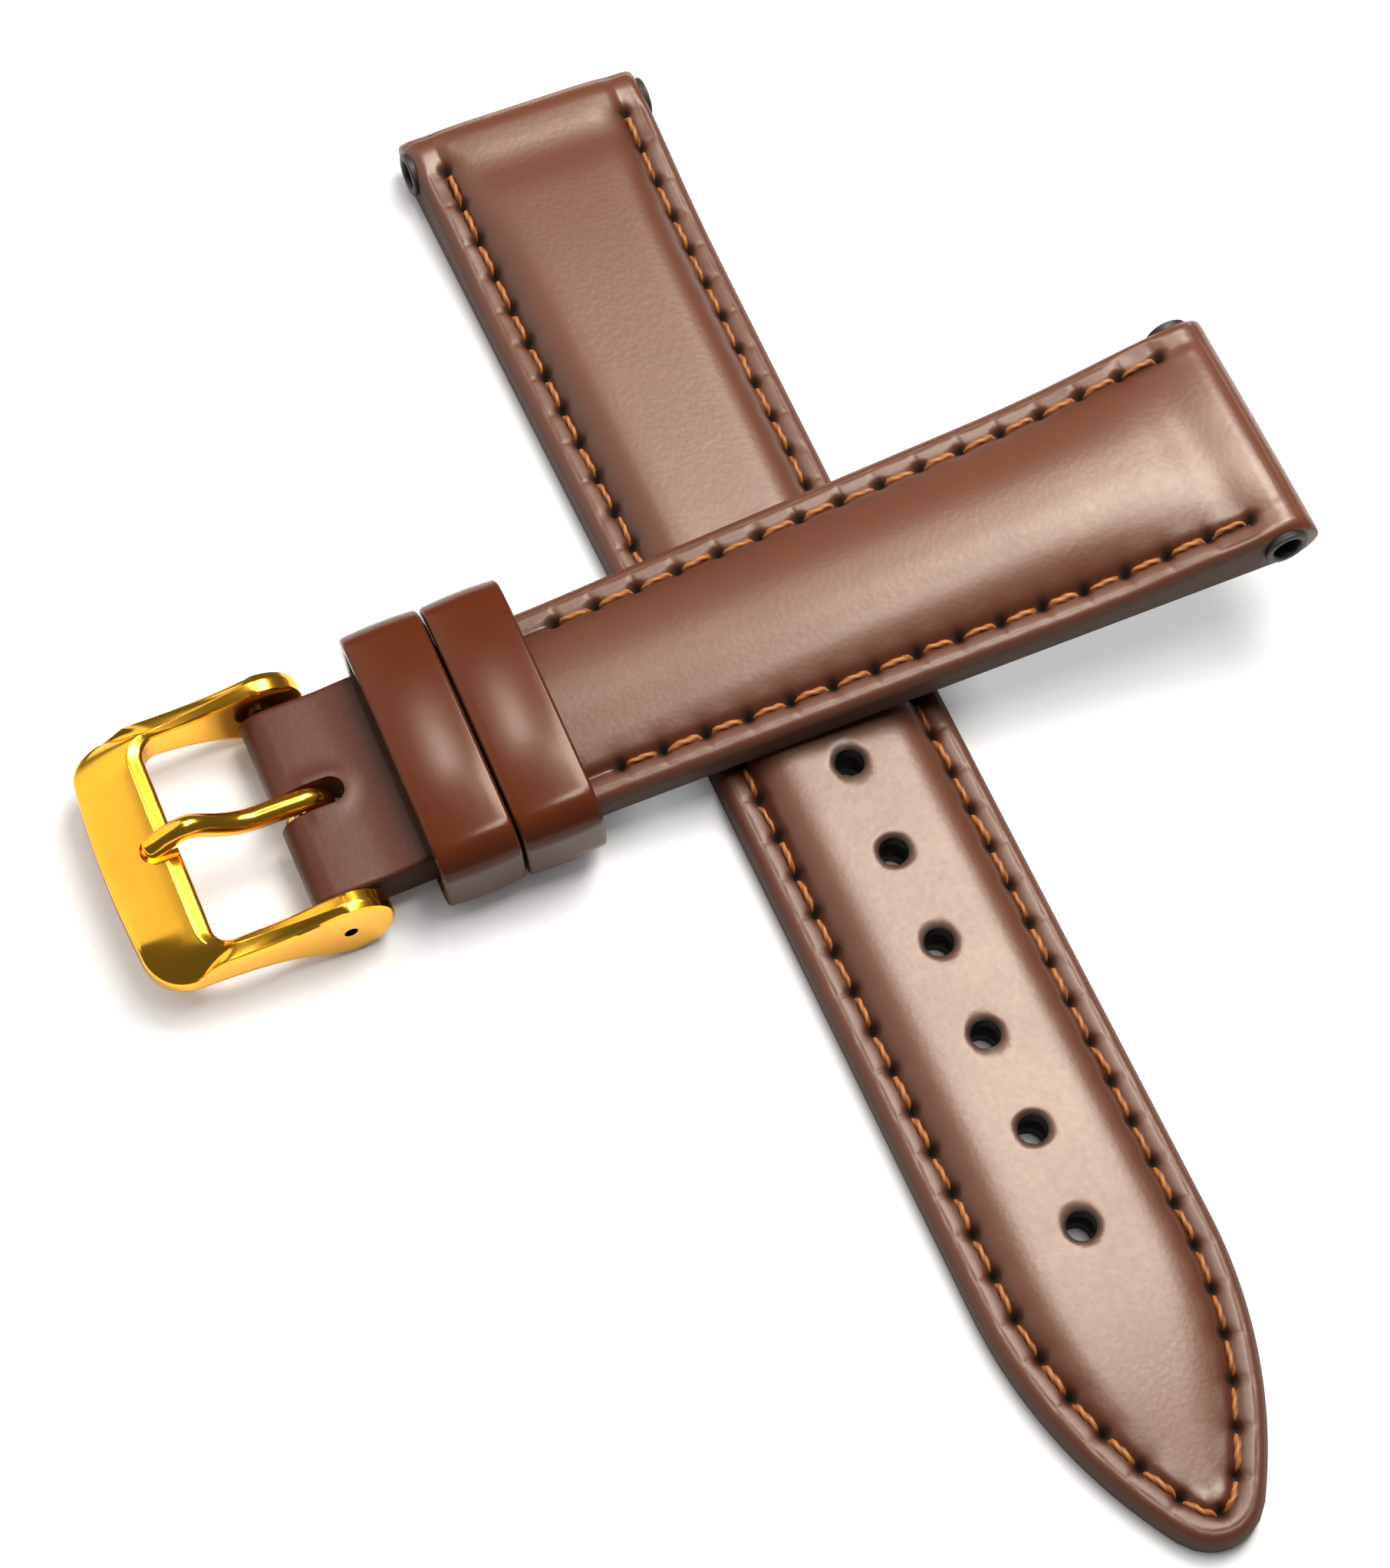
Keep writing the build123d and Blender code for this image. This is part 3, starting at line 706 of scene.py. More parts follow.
def mark_leather(half, mesh):
    """Numbers that the leather's material reads: 1 at the row, the rim, the edge, a hole or the underside."""
    s = sizes()
    x, y, z = local_points(half, mesh)
    inset = inset_of(half, x, y)
    from_row = inset - s.row_inset
    row = np.where(from_row > 0, bell(from_row, BURNISH_AND_SHADE_BAND), bell(from_row, 0.6 * MM))
    hole = bell(stitch_phase(half, run_of(half, x, y)), 0.4 * MM) * bell(from_row, 0.38 * MM)
    hole = np.maximum(hole, near_holes(half, x, y, 1.45, 0.5))
    # Where the short half's leather runs under the folded loop, the hole mark paints shade there
    if not half.pointed:
        hole = np.maximum(hole, smooth((x - BODY_END + 1.5 * MM) / MM))
    # row, rim, edge and side darken the leather as burnishing and edge paint together with painted shade; hole and
    # under make it near black as painted shade
    mark(
        mesh,
        row=row * smooth((x - 0.6 * s.first_pit) / (0.8 * s.first_pit)),
        rim=smooth((s.row_inset - 0.2 * MM - inset) / (0.4 * MM)) * (x > s.first_pit),
        edge=bell(inset, 0.75 * MM),
        side=bell(inset, 0.16 * MM) * smooth(x / s.roll),
        hole=hole,
        under=smooth((0.9 * MM - z) / (0.6 * MM)),
    )


def flat_layer(name, half, run, least_inset, low, high, round_edge, closed_tip=False):
    """Layer between two heights: a ring over its rounded edge at each place along the half."""
    x, _, inward_x, _, depth = (value[:, None] for value in half.outline(run))
    share = np.array((1, 0.8, 0.6, 0.4, 0.2, 0.08))
    curl = np.linspace(0, pi / 2, 4)
    into, lift = round_edge * (1 - np.sin(curl)), round_edge * (1 - np.cos(curl))
    edge = least_inset + np.concatenate([into, into[::-1]])
    top = least_inset + round_edge + share * (depth - least_inset - round_edge)
    inset = np.concatenate([top, np.tile(edge, (len(run), 1)), top[:, ::-1]], 1)
    high_z = high(x + inward_x * inset, inset, depth) if callable(high) else np.full(inset.shape, high)
    turned, back = len(share), len(share) + len(curl)
    height = np.full(inset.shape, low)
    height[:, :turned] = high_z[:, :turned]
    height[:, turned:back] = high_z[:, turned:back] - lift
    height[:, back : back + len(curl)] = low + lift[::-1]
    return add_piece(name, *half_sheets(half, run, inset, height, closed_tip), sharp=50)


# Finishes
class Sock:
    """A number that a node gives, on which Python's operators add Math nodes."""

    def __init__(self, maker, socket):
        self.maker, self.socket = maker, socket

    def math(self, operation, first, second):
        """One Math node."""
        return self.maker.node("Math", {"operation": operation}, {0: first, 1: second})

    def __add__(self, other):
        return self.math("ADD", self, other)

    def __radd__(self, other):
        return self.math("ADD", other, self)

    def __sub__(self, other):
        return self.math("SUBTRACT", self, other)

    def __rsub__(self, other):
        return self.math("SUBTRACT", other, self)

    def __mul__(self, other):
        return self.math("MULTIPLY", self, other)

    def __rmul__(self, other):
        return self.math("MULTIPLY", other, self)

    def clamp(self):
        """The number held between 0 and 1."""
        return self.maker.node("Clamp", {}, {0: self, 1: 0.0, 2: 1.0})


class Nodes:
    """Maker of a material's or a world's nodes: `node` adds any, and the rest name the ones used most."""

    def __init__(self, owner):
        owner.use_nodes = True
        self.owner, self.tree = owner, owner.node_tree
        self.tree.nodes.clear()

    def node(self, kind, settings=None, values=None, output=0):
        """Adds a node of a type, sets it, then gives its sockets numbers or links."""
        made = self.tree.nodes.new("ShaderNode" + kind)
        for key, value in (settings or {}).items():
            setattr(made, key, value)
        for key, value in (values or {}).items():
            if isinstance(value, Sock):
                self.tree.links.new(value.socket, made.inputs[key])
            else:
                made.inputs[key].default_value = value
        return Sock(self, made.outputs[output]) if len(made.outputs) else None

    def place(self):
        """Object coordinates, in metres."""
        return self.node("TexCoord", output="Object")

    def noise(self, size, detail=2.0, roughness=0.5, at=None):
        """Noise of a grain size in metres."""
        values = {"Vector": at or self.place(), "Scale": 1 / size, "Detail": detail, "Roughness": roughness}
        return self.node("TexNoise", {}, values)

    def cells(self, size, spread=1.0):
        """Distance from the nearest of points that lie about a size in metres apart."""
        return self.node("TexVoronoi", {}, {"Vector": self.place(), "Scale": 1 / size, "Randomness": spread})

    def number(self, name):
        """Number of the mesh's own attribute."""
        return self.node("Attribute", {"attribute_name": name}, output="Fac")

    def mix(self, share, a, b):
        """Mix of two colours, by a share that the node holds between 0 and 1."""
        return self.node("Mix", {"data_type": "RGBA"}, {0: share, 6: rgba(a), 7: rgba(b)}, 2)

    def bump(self, height, distance, strength=1.0):
        """Bump of a height, in metres."""
        return self.node("Bump", {}, {"Height": height, "Distance": distance, "Strength": strength})

    def surface(self, colour, roughness, normal, others=None):
        """Principled surface and the material's output."""
        values = {"Base Color": colour, "Roughness": roughness, "Normal": normal, **(others or {})}
        self.node("OutputMaterial", {}, {"Surface": self.node("BsdfPrincipled", {}, values)})
        return self.owner


def rgba(colour):
    """Colour with full alpha, or a socket as it is."""
    return colour if isinstance(colour, Sock) else (*colour, 1.0)


def tinted(colour, share):
    """Colour times a number, or times one for each channel."""
    return tuple(np.multiply(colour, share).tolist())


def new_finish(name):
    """Nodes of a new material."""
    return Nodes(bpy.data.materials.new(name))


def leather_finish(name, light, deep, coat, level):
    """Glossy smooth leather with fine pores.

    Mottled brown with a few specks. Beside the stitches burnished and darker with painted shade on the crown's
    flanks, at the rim and the side darker with edge paint and painted shade, near black with painted shade in the
    holes and underneath.
    """
    f = new_finish(name)
    mottle, speck, wrinkle = f.noise(0.006, 3, 0.6), f.noise(0.0005, 4, 0.7), f.noise(0.0011, 5, 0.62)
    row, rim, edge = f.number("row"), f.number("rim"), f.number("edge")
    side, hole, under = f.number("side"), f.number("hole"), f.number("under")
    colour = f.mix(mottle * 0.5 + speck * 0.4, tinted(light, 1.2), tinted(light, 0.62))
    # Beside the stitches: burnishing, and painted shade where the crown's flanks turn away from the light
    colour = f.mix(row * 0.78, colour, deep)
    # Rim and edge darker: edge paint together with painted shade
    colour = f.mix(edge * 0.35 + rim * 0.3, colour, tinted(deep, 1.25))
    # Side walls: painted shade, with edge paint
    colour = f.mix(side * 0.6, colour, tinted(deep, 0.35))
    # Stitch holes, adjusting holes and the underside near black: painted shade, over the edge paint of the hole
    # walls
    colour = f.mix(hole * 1.2 + under * 0.85, colour, LEATHER_EDGE_PAINT_AND_SHADE)
    colour = f.mix(((0.06 - f.cells(0.0028)) * 25.0).clamp() * 0.7, colour, deep)
    height = f.cells(0.00042) * 0.4 + wrinkle * 0.6 + speck * 0.5
    roughness = (speck * 0.12 + mottle * 0.1 + 0.28 + side * 0.35 + hole * 0.4 + rim * 0.1).clamp()
    others = {
        "Coat Weight": coat,
        "Coat Roughness": 0.24,
        "Specular IOR Level": level,
        "Specular Tint": (1.0, 0.92, 0.82, 1.0),
    }
    return f.surface(colour, roughness, f.bump(height, 0.00003, 0.5), others)


def lining_finish():
    """Matt near-black lining leather with a fine pebble grain."""
    f = new_finish("lining_leather")
    cells, speck = f.cells(0.0007, 0.9), f.noise(0.0003, 3, 0.6)
    colour = f.mix(cells * 0.5 + speck * 0.3, colours().lining, tinted(colours().lining, 2.2))
    grain = f.bump(cells + speck * 0.4, 0.00008, 0.7)
    return f.surface(colour, speck * 0.15 + 0.5, grain, {"Specular IOR Level": 0.3})


def thread_finish():
    """Waxed twisted thread: amber plies with painted shade between them, and fine fibres along the twist."""
    f = new_finish("amber_thread")
    fibre, mottle = f.noise(0.00009, 3, 0.7), f.noise(0.0016, 2, 0.5)
    colour = f.mix(f.number("ply") * 0.9 + fibre * 0.25 - 0.1, colours().thread_ply_shade, colours().thread)
    colour = f.mix(mottle * 0.7 - 0.1, colour, (0.30, 0.095, 0.014))
    others = {"Sheen Weight": 0.25, "Sheen Roughness": 0.4}
    return f.surface(colour, fibre * 0.2 + 0.38, f.bump(fibre, 0.00003, 0.6), others)


def foam_finish():
    """Open-celled padding, near black round the holes with edge paint and painted shade."""
    f = new_finish("padding_foam")
    cells = f.cells(0.0004)
    colour = f.mix(cells, colours().foam, tinted(colours().foam, 0.6))
    # Near black round the holes: edge paint and painted shade
    return f.surface(f.mix(f.number("hole"), colour, HOLE_PAINT_AND_SHADE), 0.95, f.bump(cells, 0.0001, 0.8))


def tape_finish():
    """Plain woven tape: threads cross at 0.35 mm."""
    f = new_finish("stay_weave")
    values = {"Vector": f.place(), "Scale": 1 / 0.00035 / 2, "Distortion": 0.4}
    warp, weft = (f.node("TexWave", {"bands_direction": axis}, values) for axis in ("X", "Y"))
    weave = warp * weft
    colour = f.mix(weave, tinted(colours().tape, 0.7), colours().tape)
    # Near black round the holes: edge paint and painted shade
    return f.surface(f.mix(f.number("hole"), colour, HOLE_PAINT_AND_SHADE), 0.9, f.bump(weave, 0.00006, 0.8))


def metal_finish(name, colour, dark, gloss):
    """Polished plated metal: hairline scratches, a deeper tone in patches, painted shade in the ears' holes."""
    f = new_finish(name)
    patch = f.noise(0.004, 2, 0.5)
    stretched = f.node("Mapping", {}, {"Vector": f.place(), "Rotation": (0, 0, 0.5), "Scale": (1, 14, 6)})
    scratch = f.noise(0.0008, 4, 0.6, at=stretched)
    tone = f.mix(patch * 0.7 + scratch * 0.15, colour, dark)
    # Painted shade in the ears' holes: near black within 0.5 mm of the bar's axis
    away = f.node("VectorMath", {"operation": "SUBTRACT"}, {0: f.place(), 1: BAR})
    beside = f.node("VectorMath", {"operation": "CROSS_PRODUCT"}, {0: away, 1: FRAME_ACROSS})
    from_axis = f.node("VectorMath", {"operation": "LENGTH"}, {0: beside}, output="Value")
    tone = f.mix((0.0005 - from_axis) * 20000.0, tone, HOLE_PAINT_AND_SHADE)
    roughness = (scratch * 0.05 + patch * 0.03 + gloss - 0.03).clamp()
    return f.surface(tone, roughness, f.bump(scratch * 0.6 + patch, 0.00001, 0.25), {"Metallic": 1.0})


def keeper_finish():
    """Glossy red-brown keeper leather, darker at its painted edges, with painted shade where it goes down the
    sides.
    """
    f = new_finish("keeper_leather")
    keeper_brown = colours().keeper
    mottle, speck, wrinkle = f.noise(0.005, 3, 0.6), f.noise(0.0005, 4, 0.7), f.noise(0.0013, 5, 0.6)
    colour = f.mix(mottle * 0.4 + speck * 0.15, keeper_brown, tinted(keeper_brown, 0.68))
    # Painted edges, and painted shade on the sides where the band goes down
    colour = f.mix(f.number("rim") * 0.6, colour, (0.03, 0.009, 0.006))
    others = {
        "Coat Weight": 0.06,
        "Coat Roughness": 0.14,
        "Specular IOR Level": 0.24,
        "Specular Tint": (1.0, 0.88, 0.76, 1.0),
    }
    normal = f.bump(wrinkle * 0.7 + speck * 0.3, 0.00003, 0.4)
    return f.surface(colour, (speck * 0.08 + 0.18).clamp(), normal, others)


# Threads, liners and keepers
def closing(share):
    """Share of a stitch's radius along it: whole in the middle, closing at both ends."""
    return np.sqrt(np.clip(1 - (2 * share[:, None] - 1) ** 8, 0.02, 1))


def stitches(name, half):
    """Row of stitches on both sides: each is one closed two-ply tube that dives into its stitch holes.

    Along a stitch, height is the channel's floor plus a low arch, less two bell curves at its ends; the
    section's radius is 0.9 + 0.2 cos(2 (angle - twist)), turning along the thread.
    """
    s = sizes()
    draw = np.random.default_rng(7)
    share = np.array((0, 0.05, 0.1, 0.17, 0.26, 0.38, 0.5, 0.62, 0.74, 0.83, 0.9, 0.95, 1.0))
    around, count = 10, len(half.pits) - 1
    turn = np.linspace(0, 2 * pi, around, endpoint=False)
    quads, caps = grid_quads(len(share), around, True), end_rings(len(share), around)
    parts, plies = [], []
    for side in (1, -1):
        jitter = draw.normal(0, 1, (4, count, 1))
        run = half.pits[:-1, None] + np.diff(half.pits)[:, None] * (0.09 + 0.82 * share)
        slant = 0.06 * MM * (2 * share - 1) * side * jitter[0] + 0.05 * MM * jitter[0]
        x, y, inward_x, inward_y, _ = half.outline(run)
        inset = s.row_inset + slant
        floor = half.rim(run) - s.groove - CHANNEL
        dive = 0.8 * MM * (bell(share, 0.12) + bell(1 - share, 0.12))
        height = floor + s.thread * (0.35 + 0.35 * np.sin(pi * share)) - dive + 0.03 * MM * jitter[1]
        line = half.put(x + inward_x * inset, side * (y + inward_y * inset), height)
        ahead = unit(np.gradient(line, axis=1))
        beside = unit(np.cross(ahead, half.up))
        twist = 8.5 * share[:, None] + 2.0 - jitter[2][..., None] * 1.3
        ply = np.cos(2 * (turn - twist))
        swell = 1 + 0.1 * jitter[3][..., None]
        radius = s.thread * swell * (0.9 + 0.2 * ply) * closing(share)
        points = ring_about(line, np.cross(beside, ahead), beside, radius)
        parts += [(stitch, quads, caps) for stitch in points]
        plies.append(ply.ravel())
    made = add_piece(name, *joined(parts), merge=THREAD_MERGE)
    mark(made.data, ply=np.concatenate(plies) * 0.5 + 0.5)
    return made


def bar_liner(name, half):
    """Tube that lines the bar hole: a rounded wall turned about the hole's axis, its ends rolled out."""
    s = sizes()
    reach = s.lug_width / 2 + LINER_PROUD
    outer = BORE + LINER_WALL - LINER_GAP
    middle, thick = (outer + BORE) / 2, (outer - BORE) / 2
    curl = np.linspace(0, pi, 9)
    straight, rolled = 0.9 * reach * np.array((-1, 0, 1)), reach - thick + thick * np.sin(curl)
    places = np.concatenate([straight, rolled, -straight, -rolled])
    bent = thick * np.cos(curl)
    radii = np.concatenate([[outer] * 3, middle + bent, [BORE] * 3, middle - bent])
    past_lug = smooth((np.abs(places) - s.lug_width / 2) / (LINER_PROUD * 0.7))
    radii = radii + 0.12 * MM * past_lug * (radii > middle)
    turn = np.linspace(0, 2 * pi, 40, endpoint=False)[:, None]
    points = half.put(s.roll + radii * np.cos(turn), places, s.roll + radii * np.sin(turn))
    return add_piece(name, points, grid_quads(len(turn), len(radii), True, True))


def rounded_path(width, height, radius, corner=10, straight=12):
    """Closed rounded rectangle: points and outward directions, from the right end of its underside round.

    Each corner is an arc about its centre, followed by the straight to the next corner.
    """
    centres = np.array(((1, -1), (1, 1), (-1, 1), (-1, -1))) * (width / 2 - radius, height / 2 - radius)
    turn = np.radians(np.linspace((-90, 0, 90, 180), (0, 90, 180, 270), corner, axis=1))
    way = np.stack([np.cos(turn), np.sin(turn)], -1)
    last = way[:, -1:]
    start, stop = centres[:, None] + radius * last, np.roll(centres, -1, 0)[:, None] + radius * last
    share = np.linspace(0, 1, straight + 1)[1:-1, None]
    points = np.concatenate([centres[:, None] + radius * way, start * (1 - share) + stop * share], 1)
    return points.reshape(-1, 2), np.concatenate([way, np.repeat(last, straight - 1, 1)], 1).reshape(-1, 2)


def keeper(name, half, start, floor):
    """Keeper band: a domed, round-edged profile carried round a rounded rectangle.

    Its top falls towards the sides as distance^2.7, and a bell curve round the middle of its underside
    sinks the seam.
    """
    s = sizes()
    wall = s.keeper_wall
    path, way = rounded_path(*(inside + wall for inside in KEEPER_INSIDE), KEEPER_CORNER - wall / 2)
    out, rise = np.abs(path[:, 0]) / path[:, 0].max(), path[:, 1] / path[:, 1].max()
    path[:, 1] -= KEEPER_SAG * out**2.7 * smooth(rise)
    wide, thick = s.keeper_width / 2, wall / 2
    side = wide - KEEPER_EDGE
    face = np.linspace(-side, side, 9)
    curl = np.linspace(0, pi / 2, 5)[1:]
    sine, cosine = KEEPER_EDGE * np.sin(curl), KEEPER_EDGE * np.cos(curl)
    rounded_off, left = KEEPER_EDGE - cosine, KEEPER_EDGE - sine
    profile_x = np.concatenate(
        [face, side + sine, side + cosine, face[::-1][1:], -(side + sine), -(side + cosine)[:-1]]
    )
    profile_z = np.concatenate(
        [
            thick + KEEPER_DOME * (1 - (face / side) ** 2),
            thick - rounded_off,
            left - thick,
            np.full(len(face) - 1, -thick),
            rounded_off - thick,
            (thick - left)[:-1],
        ]
    )
    seam = bell(path[:, :1], 0.35 * MM) * (path[:, 1:] < 0)
    height = profile_z - SEAM_GROOVE * seam * (profile_z > 0)
    across, above = path[:, :1] + way[:, :1] * height, path[:, 1:] + way[:, 1:] * height
    points = half.put(start + wide + profile_x, across, KEEPER_INSIDE[1] / 2 - floor + above)
    made = add_piece(name, points, grid_quads(*height.shape, True, True))
    x, y, _ = local_points(half, made.data)
    rim = smooth((np.abs(x - start - wide) - side) / KEEPER_EDGE)
    # down: painted shade on the sides of the band, darkened with its painted edges through the rim mark
    down = smooth((np.abs(y) - KEEPER_INSIDE[0] / 2 + 0.4 * MM) / (1.2 * MM))
    mark(made.data, rim=np.maximum(rim, 0.75 * down))
    return made


def seam_stitches(name, half, start, floor):
    """Two stitches sunk in a keeper's seam groove, each a short twisted tube."""
    s = sizes()
    share = np.linspace(0, 1, 9)
    turn = np.linspace(0, 2 * pi, 10, endpoint=False)
    ply = np.cos(2 * (turn - 7 * share[:, None]))
    radius = 0.25 * MM * (0.88 + 0.12 * ply) * closing(share)
    z = -floor - s.keeper_wall + 0.3 * MM + 0.2 * MM * (bell(share, 0.15) + bell(1 - share, 0.15))
    parts = []
    for step in (-1, 1):
        x = start + (s.keeper_width + step * SEAM_STEP - SEAM_STITCH) / 2 + SEAM_STITCH * share
        parts.append(tube(half.put(x, 0.0, z), half.up, half.across, radius, len(turn)))
    made = add_piece(name, *joined(parts), merge=THREAD_MERGE)
    mark(made.data, ply=np.tile(ply.ravel(), 2) * 0.5 + 0.5)
    return made


# Folded end
def from_slot(x, y):
    """Distance from the middle line of the tongue's slot, which ends behind the bar."""
    return np.hypot(np.maximum(0, SLOT_END - x), y)


def buckle_loop(name, half):
    """Folded end: a slab with round edges that bulges over the bar, with a slot for the tongue.

    Beyond the bar its height follows the circle about it. The top dips behind the bar, where the two
    layers meet, and swells round the slot.
    """
    back = np.linspace(BODY_END + LAYER_GAP, BAR_FROM_LUG, 80)
    nose = np.linspace(0, pi / 2, 12)[1:]
    x = np.concatenate([back, BAR_FROM_LUG + LOOP_RADIUS * np.sin(nose)])[:, None]
    tall = LOOP_RADIUS * np.concatenate([np.ones(len(back)), np.cos(nose)])[:, None]
    curl = np.linspace(0, pi / 2, 6)
    flat = np.concatenate([np.linspace(0, 2.4, 25), np.linspace(2.6, 6.8, 15)]) * MM
    rounded = LOOP_HALF - LOOP_EDGE + LOOP_EDGE * np.sin(curl)
    middle = LOOP_HALF - np.array((0.05, 0.13, 0.05)) * MM
    across = np.concatenate([flat, rounded, middle, rounded[::-1], flat[::-1]])
    shoulder = np.concatenate([np.ones(len(flat)), 0.75 + 0.25 * np.cos(curl)])
    level = np.concatenate([shoulder, (0.12, 0.0, -0.12), -shoulder[::-1]])
    dip = 0.16 * MM * bell(x - BAR_FROM_LUG + 3.6 * MM, 1.8 * MM)
    swell = 0.13 * MM * bell(from_slot(x, across) - SLOT_HALF - 0.2 * MM, 0.7 * MM)
    swell = swell * smooth((BAR_FROM_LUG - x) / (0.8 * MM))
    height = LOOP_RADIUS + tall * level + (level > 0.5) * (swell - dip)
    quads, caps = grid_quads(*height.shape), end_rings(*height.shape)[:1]
    made = add_piece(name, *joined([(half.put(x, side * across, height), quads, caps) for side in (1, -1)]))
    turn = np.linspace(pi / 2, 3 * pi / 2, 25)
    slot_x = SLOT_END + np.concatenate([[6 * MM], SLOT_HALF * np.cos(turn), [6 * MM]])
    slot_y = SLOT_HALF * np.concatenate([[1.0], np.sin(turn), [-1.0]])
    slot = half.put(slot_x, slot_y, np.array((-2, 6))[:, None] * MM)
    cut(made, [(slot, grid_quads(2, len(slot_x), True), end_rings(2, len(slot_x)))], 35)
    bore = half.put(BAR_FROM_LUG, -20 * MM, LOOP_RADIUS)
    cut(made, [pin(bore, half.across, SPRING_BAR_RADIUS, 40 * MM)], 35)
    x, y, _ = local_points(half, made.data)
    y = np.abs(y)
    # These marks darken the loop towards its side edges and at its fold as edge paint with painted shade, and put
    # painted shade in the slot
    mark(
        made.data,
        row=smooth((y - LOOP_HALF + 0.35 * MM) / (0.3 * MM)),
        rim=0 * x,
        edge=bell(x - BAR_FROM_LUG - LOOP_RADIUS, 0.5 * MM),
        side=bell(LOOP_HALF - y, 0.16 * MM),
        hole=smooth(1.25 - from_slot(x, y) / SLOT_HALF) * (x < BAR_FROM_LUG + 0.5 * MM),
        under=0 * x,
    )
    return made


# Buckle and spring bar
def at_bar(x, u, z):
    """Points by distance forward of, across and above the spring bar's axis."""
    x, u, z = np.broadcast_arrays(x, u, z)
    return BAR + x[..., None] * FRAME_FORWARD + u[..., None] * FRAME_ACROSS + z[..., None] * UP


def frame_heights(x):
    """Top and underside of the frame's arms: the ear's circle behind the bar, then two falling curves."""
    ear = np.sqrt(np.clip(EAR**2 - np.minimum(x, 0) ** 2, 0, None))
    ahead = np.maximum(x, 0) / FRAME_FALL
    top = FRAME_TOP + (EAR - FRAME_TOP) * np.exp(-(ahead**1.6))
    low = FRAME_BOTTOM - (EAR + FRAME_BOTTOM) * np.exp(-(ahead**1.4))
    return np.where(x < 0, ear, top), np.where(x < 0, -ear, low)


def frame_outline(front, half_width, corner, bow):
    """Inner or outer outline of the frame: arm, corner arc and bowed front bar, then the same mirrored."""
    straight = front - bow - corner
    back = -EAR * np.cos(np.linspace(LUG_FACET, pi / 2, 16))
    arm = np.concatenate([back, np.linspace(0, straight, 26)[1:]])
    turn = np.linspace(0, pi / 2, 22)[1:]
    bar = np.linspace(1, 0, 24)[1:]
    forward = np.concatenate([arm, straight + corner * np.sin(turn), front - bow * bar**2])
    inside = half_width - corner
    across = np.concatenate([np.full(len(arm), half_width), inside + corner * np.cos(turn), bar * inside])
    line = np.stack([forward, across], -1)
    return np.concatenate([line, line[-2::-1] * (1, -1)])


def frame_side(line, top, low, away):
    """Side face of the frame from underside to top, drawn in near its rims and the ear's rim as a circle."""
    level = np.sin(np.linspace(-1, 1, 15) * pi / 2)
    z = (top + low)[:, None] / 2 + (top - low)[:, None] / 2 * level
    to_rim = np.minimum(top[:, None] - z, z - low[:, None])
    to_ear_rim = EAR - np.hypot(np.minimum(line[:, :1], 0), z)
    to_rim = np.where(line[:, :1] < 0, to_ear_rim, to_rim)
    draw_in = FRAME_ROUND * (1 - arc(to_rim / FRAME_ROUND))
    return line[:, None, :] + draw_in[..., None] * away[:, None, :], z


def buckle_frame(name):
    """Buckle frame: a ring of fixed shape carried from one ear round the front bar to the other.

    Inner and outer outlines run side by side: straight arms, corner arcs, straight bar. Each ring goes up
    the outer side, over the main face to the crest, down the inner bevel and down the inner side.
    """
    inner = frame_outline(FRONT_INNER, FRAME_HALF - ARM, INNER_CORNER, 0.0)
    outer = frame_outline(FRONT_OUTER, FRAME_HALF, OUTER_CORNER, FRONT_BOW)
    top_in, low_in = frame_heights(inner[:, 0])
    top_out, low_out = frame_heights(outer[:, 0])
    # 0 on the arms and 1 on the front bar, and 1 at the outer corners
    on_bar = smooth(((inner + outer)[:, 0] / 2 - 7.2 * MM) / (3.4 * MM))
    at_corner = np.clip((np.abs(outer[:, 1]) - 6 * MM) / (3.3 * MM), 0, 1)
    at_corner = at_corner * smooth((outer[:, 0] - 8.8 * MM) / (1.8 * MM))
    outer_top = top_out - (0.12 + 0.45 * on_bar + 0.95 * at_corner) * MM
    inner_top = top_in - (0.06 + 0.14 * on_bar) * MM
    width = np.linalg.norm(outer - inner, axis=1)[:, None]
    across = (outer - inner) / width
    outer_place, outer_z = frame_side(outer, outer_top, low_out, -across)
    inner_place, inner_z = frame_side(inner, inner_top, low_in, across)
    crest = inner + across * CREST
    face, bevel = np.array((0.93, 0.75, 0.5, 0.25, 0.06)), np.array((0.96, 0.8, 0.5, 0.2))
    under = np.linspace(0, 1, 7)[1:-1]
    place = [
        outer_place,
        between(crest, outer_place[:, -1], face),
        between(inner_place[:, -1], crest, bevel),
        inner_place[:, ::-1],
        between(inner_place[:, 0], outer_place[:, 0], under),
    ]
    z = [
        outer_z,
        between(top_in, outer_top, face**1.1),
        between(inner_top, top_in, bevel),
        inner_z[:, ::-1],
        between(inner_z[:, 0], outer_z[:, 0], under),
    ]
    place, z = np.concatenate(place, 1), np.concatenate(z, 1)
    points = at_bar(place[..., 0], place[..., 1], z)
    made = add_piece(name, points, grid_quads(*z.shape, True), end_rings(*z.shape), merge=MERGE / 2)
    start = at_bar(FRONT_INNER - MM, 0.0, NOTCH_HEIGHT)
    notch = pin(start, FRAME_FORWARD, NOTCH_RADIUS, NOTCH_REACH, 40, 10)
    holes = [
        pin(at_bar(0.0, way * 6 * MM, 0.0), way * FRAME_ACROSS, EAR_HOLE, 6 * MM, 32) for way in (1, -1)
    ]
    cut(made, [notch], 32)
    return cut(made, holes, 32)


def spline(points, samples):
    """Smooth curve through a control polygon: quadratic B-spline, even in each span."""
    points = np.concatenate([points[:1], points, points[-1:]])
    spans = len(points) - 2
    t = np.linspace(0, spans - 1e-9, samples)
    i = t.astype(int)
    f = (t - i)[:, None]
    return 0.5 * ((1 - f) ** 2 * points[i] + (1 + 2 * f - 2 * f**2) * points[i + 1] + f**2 * points[i + 2])


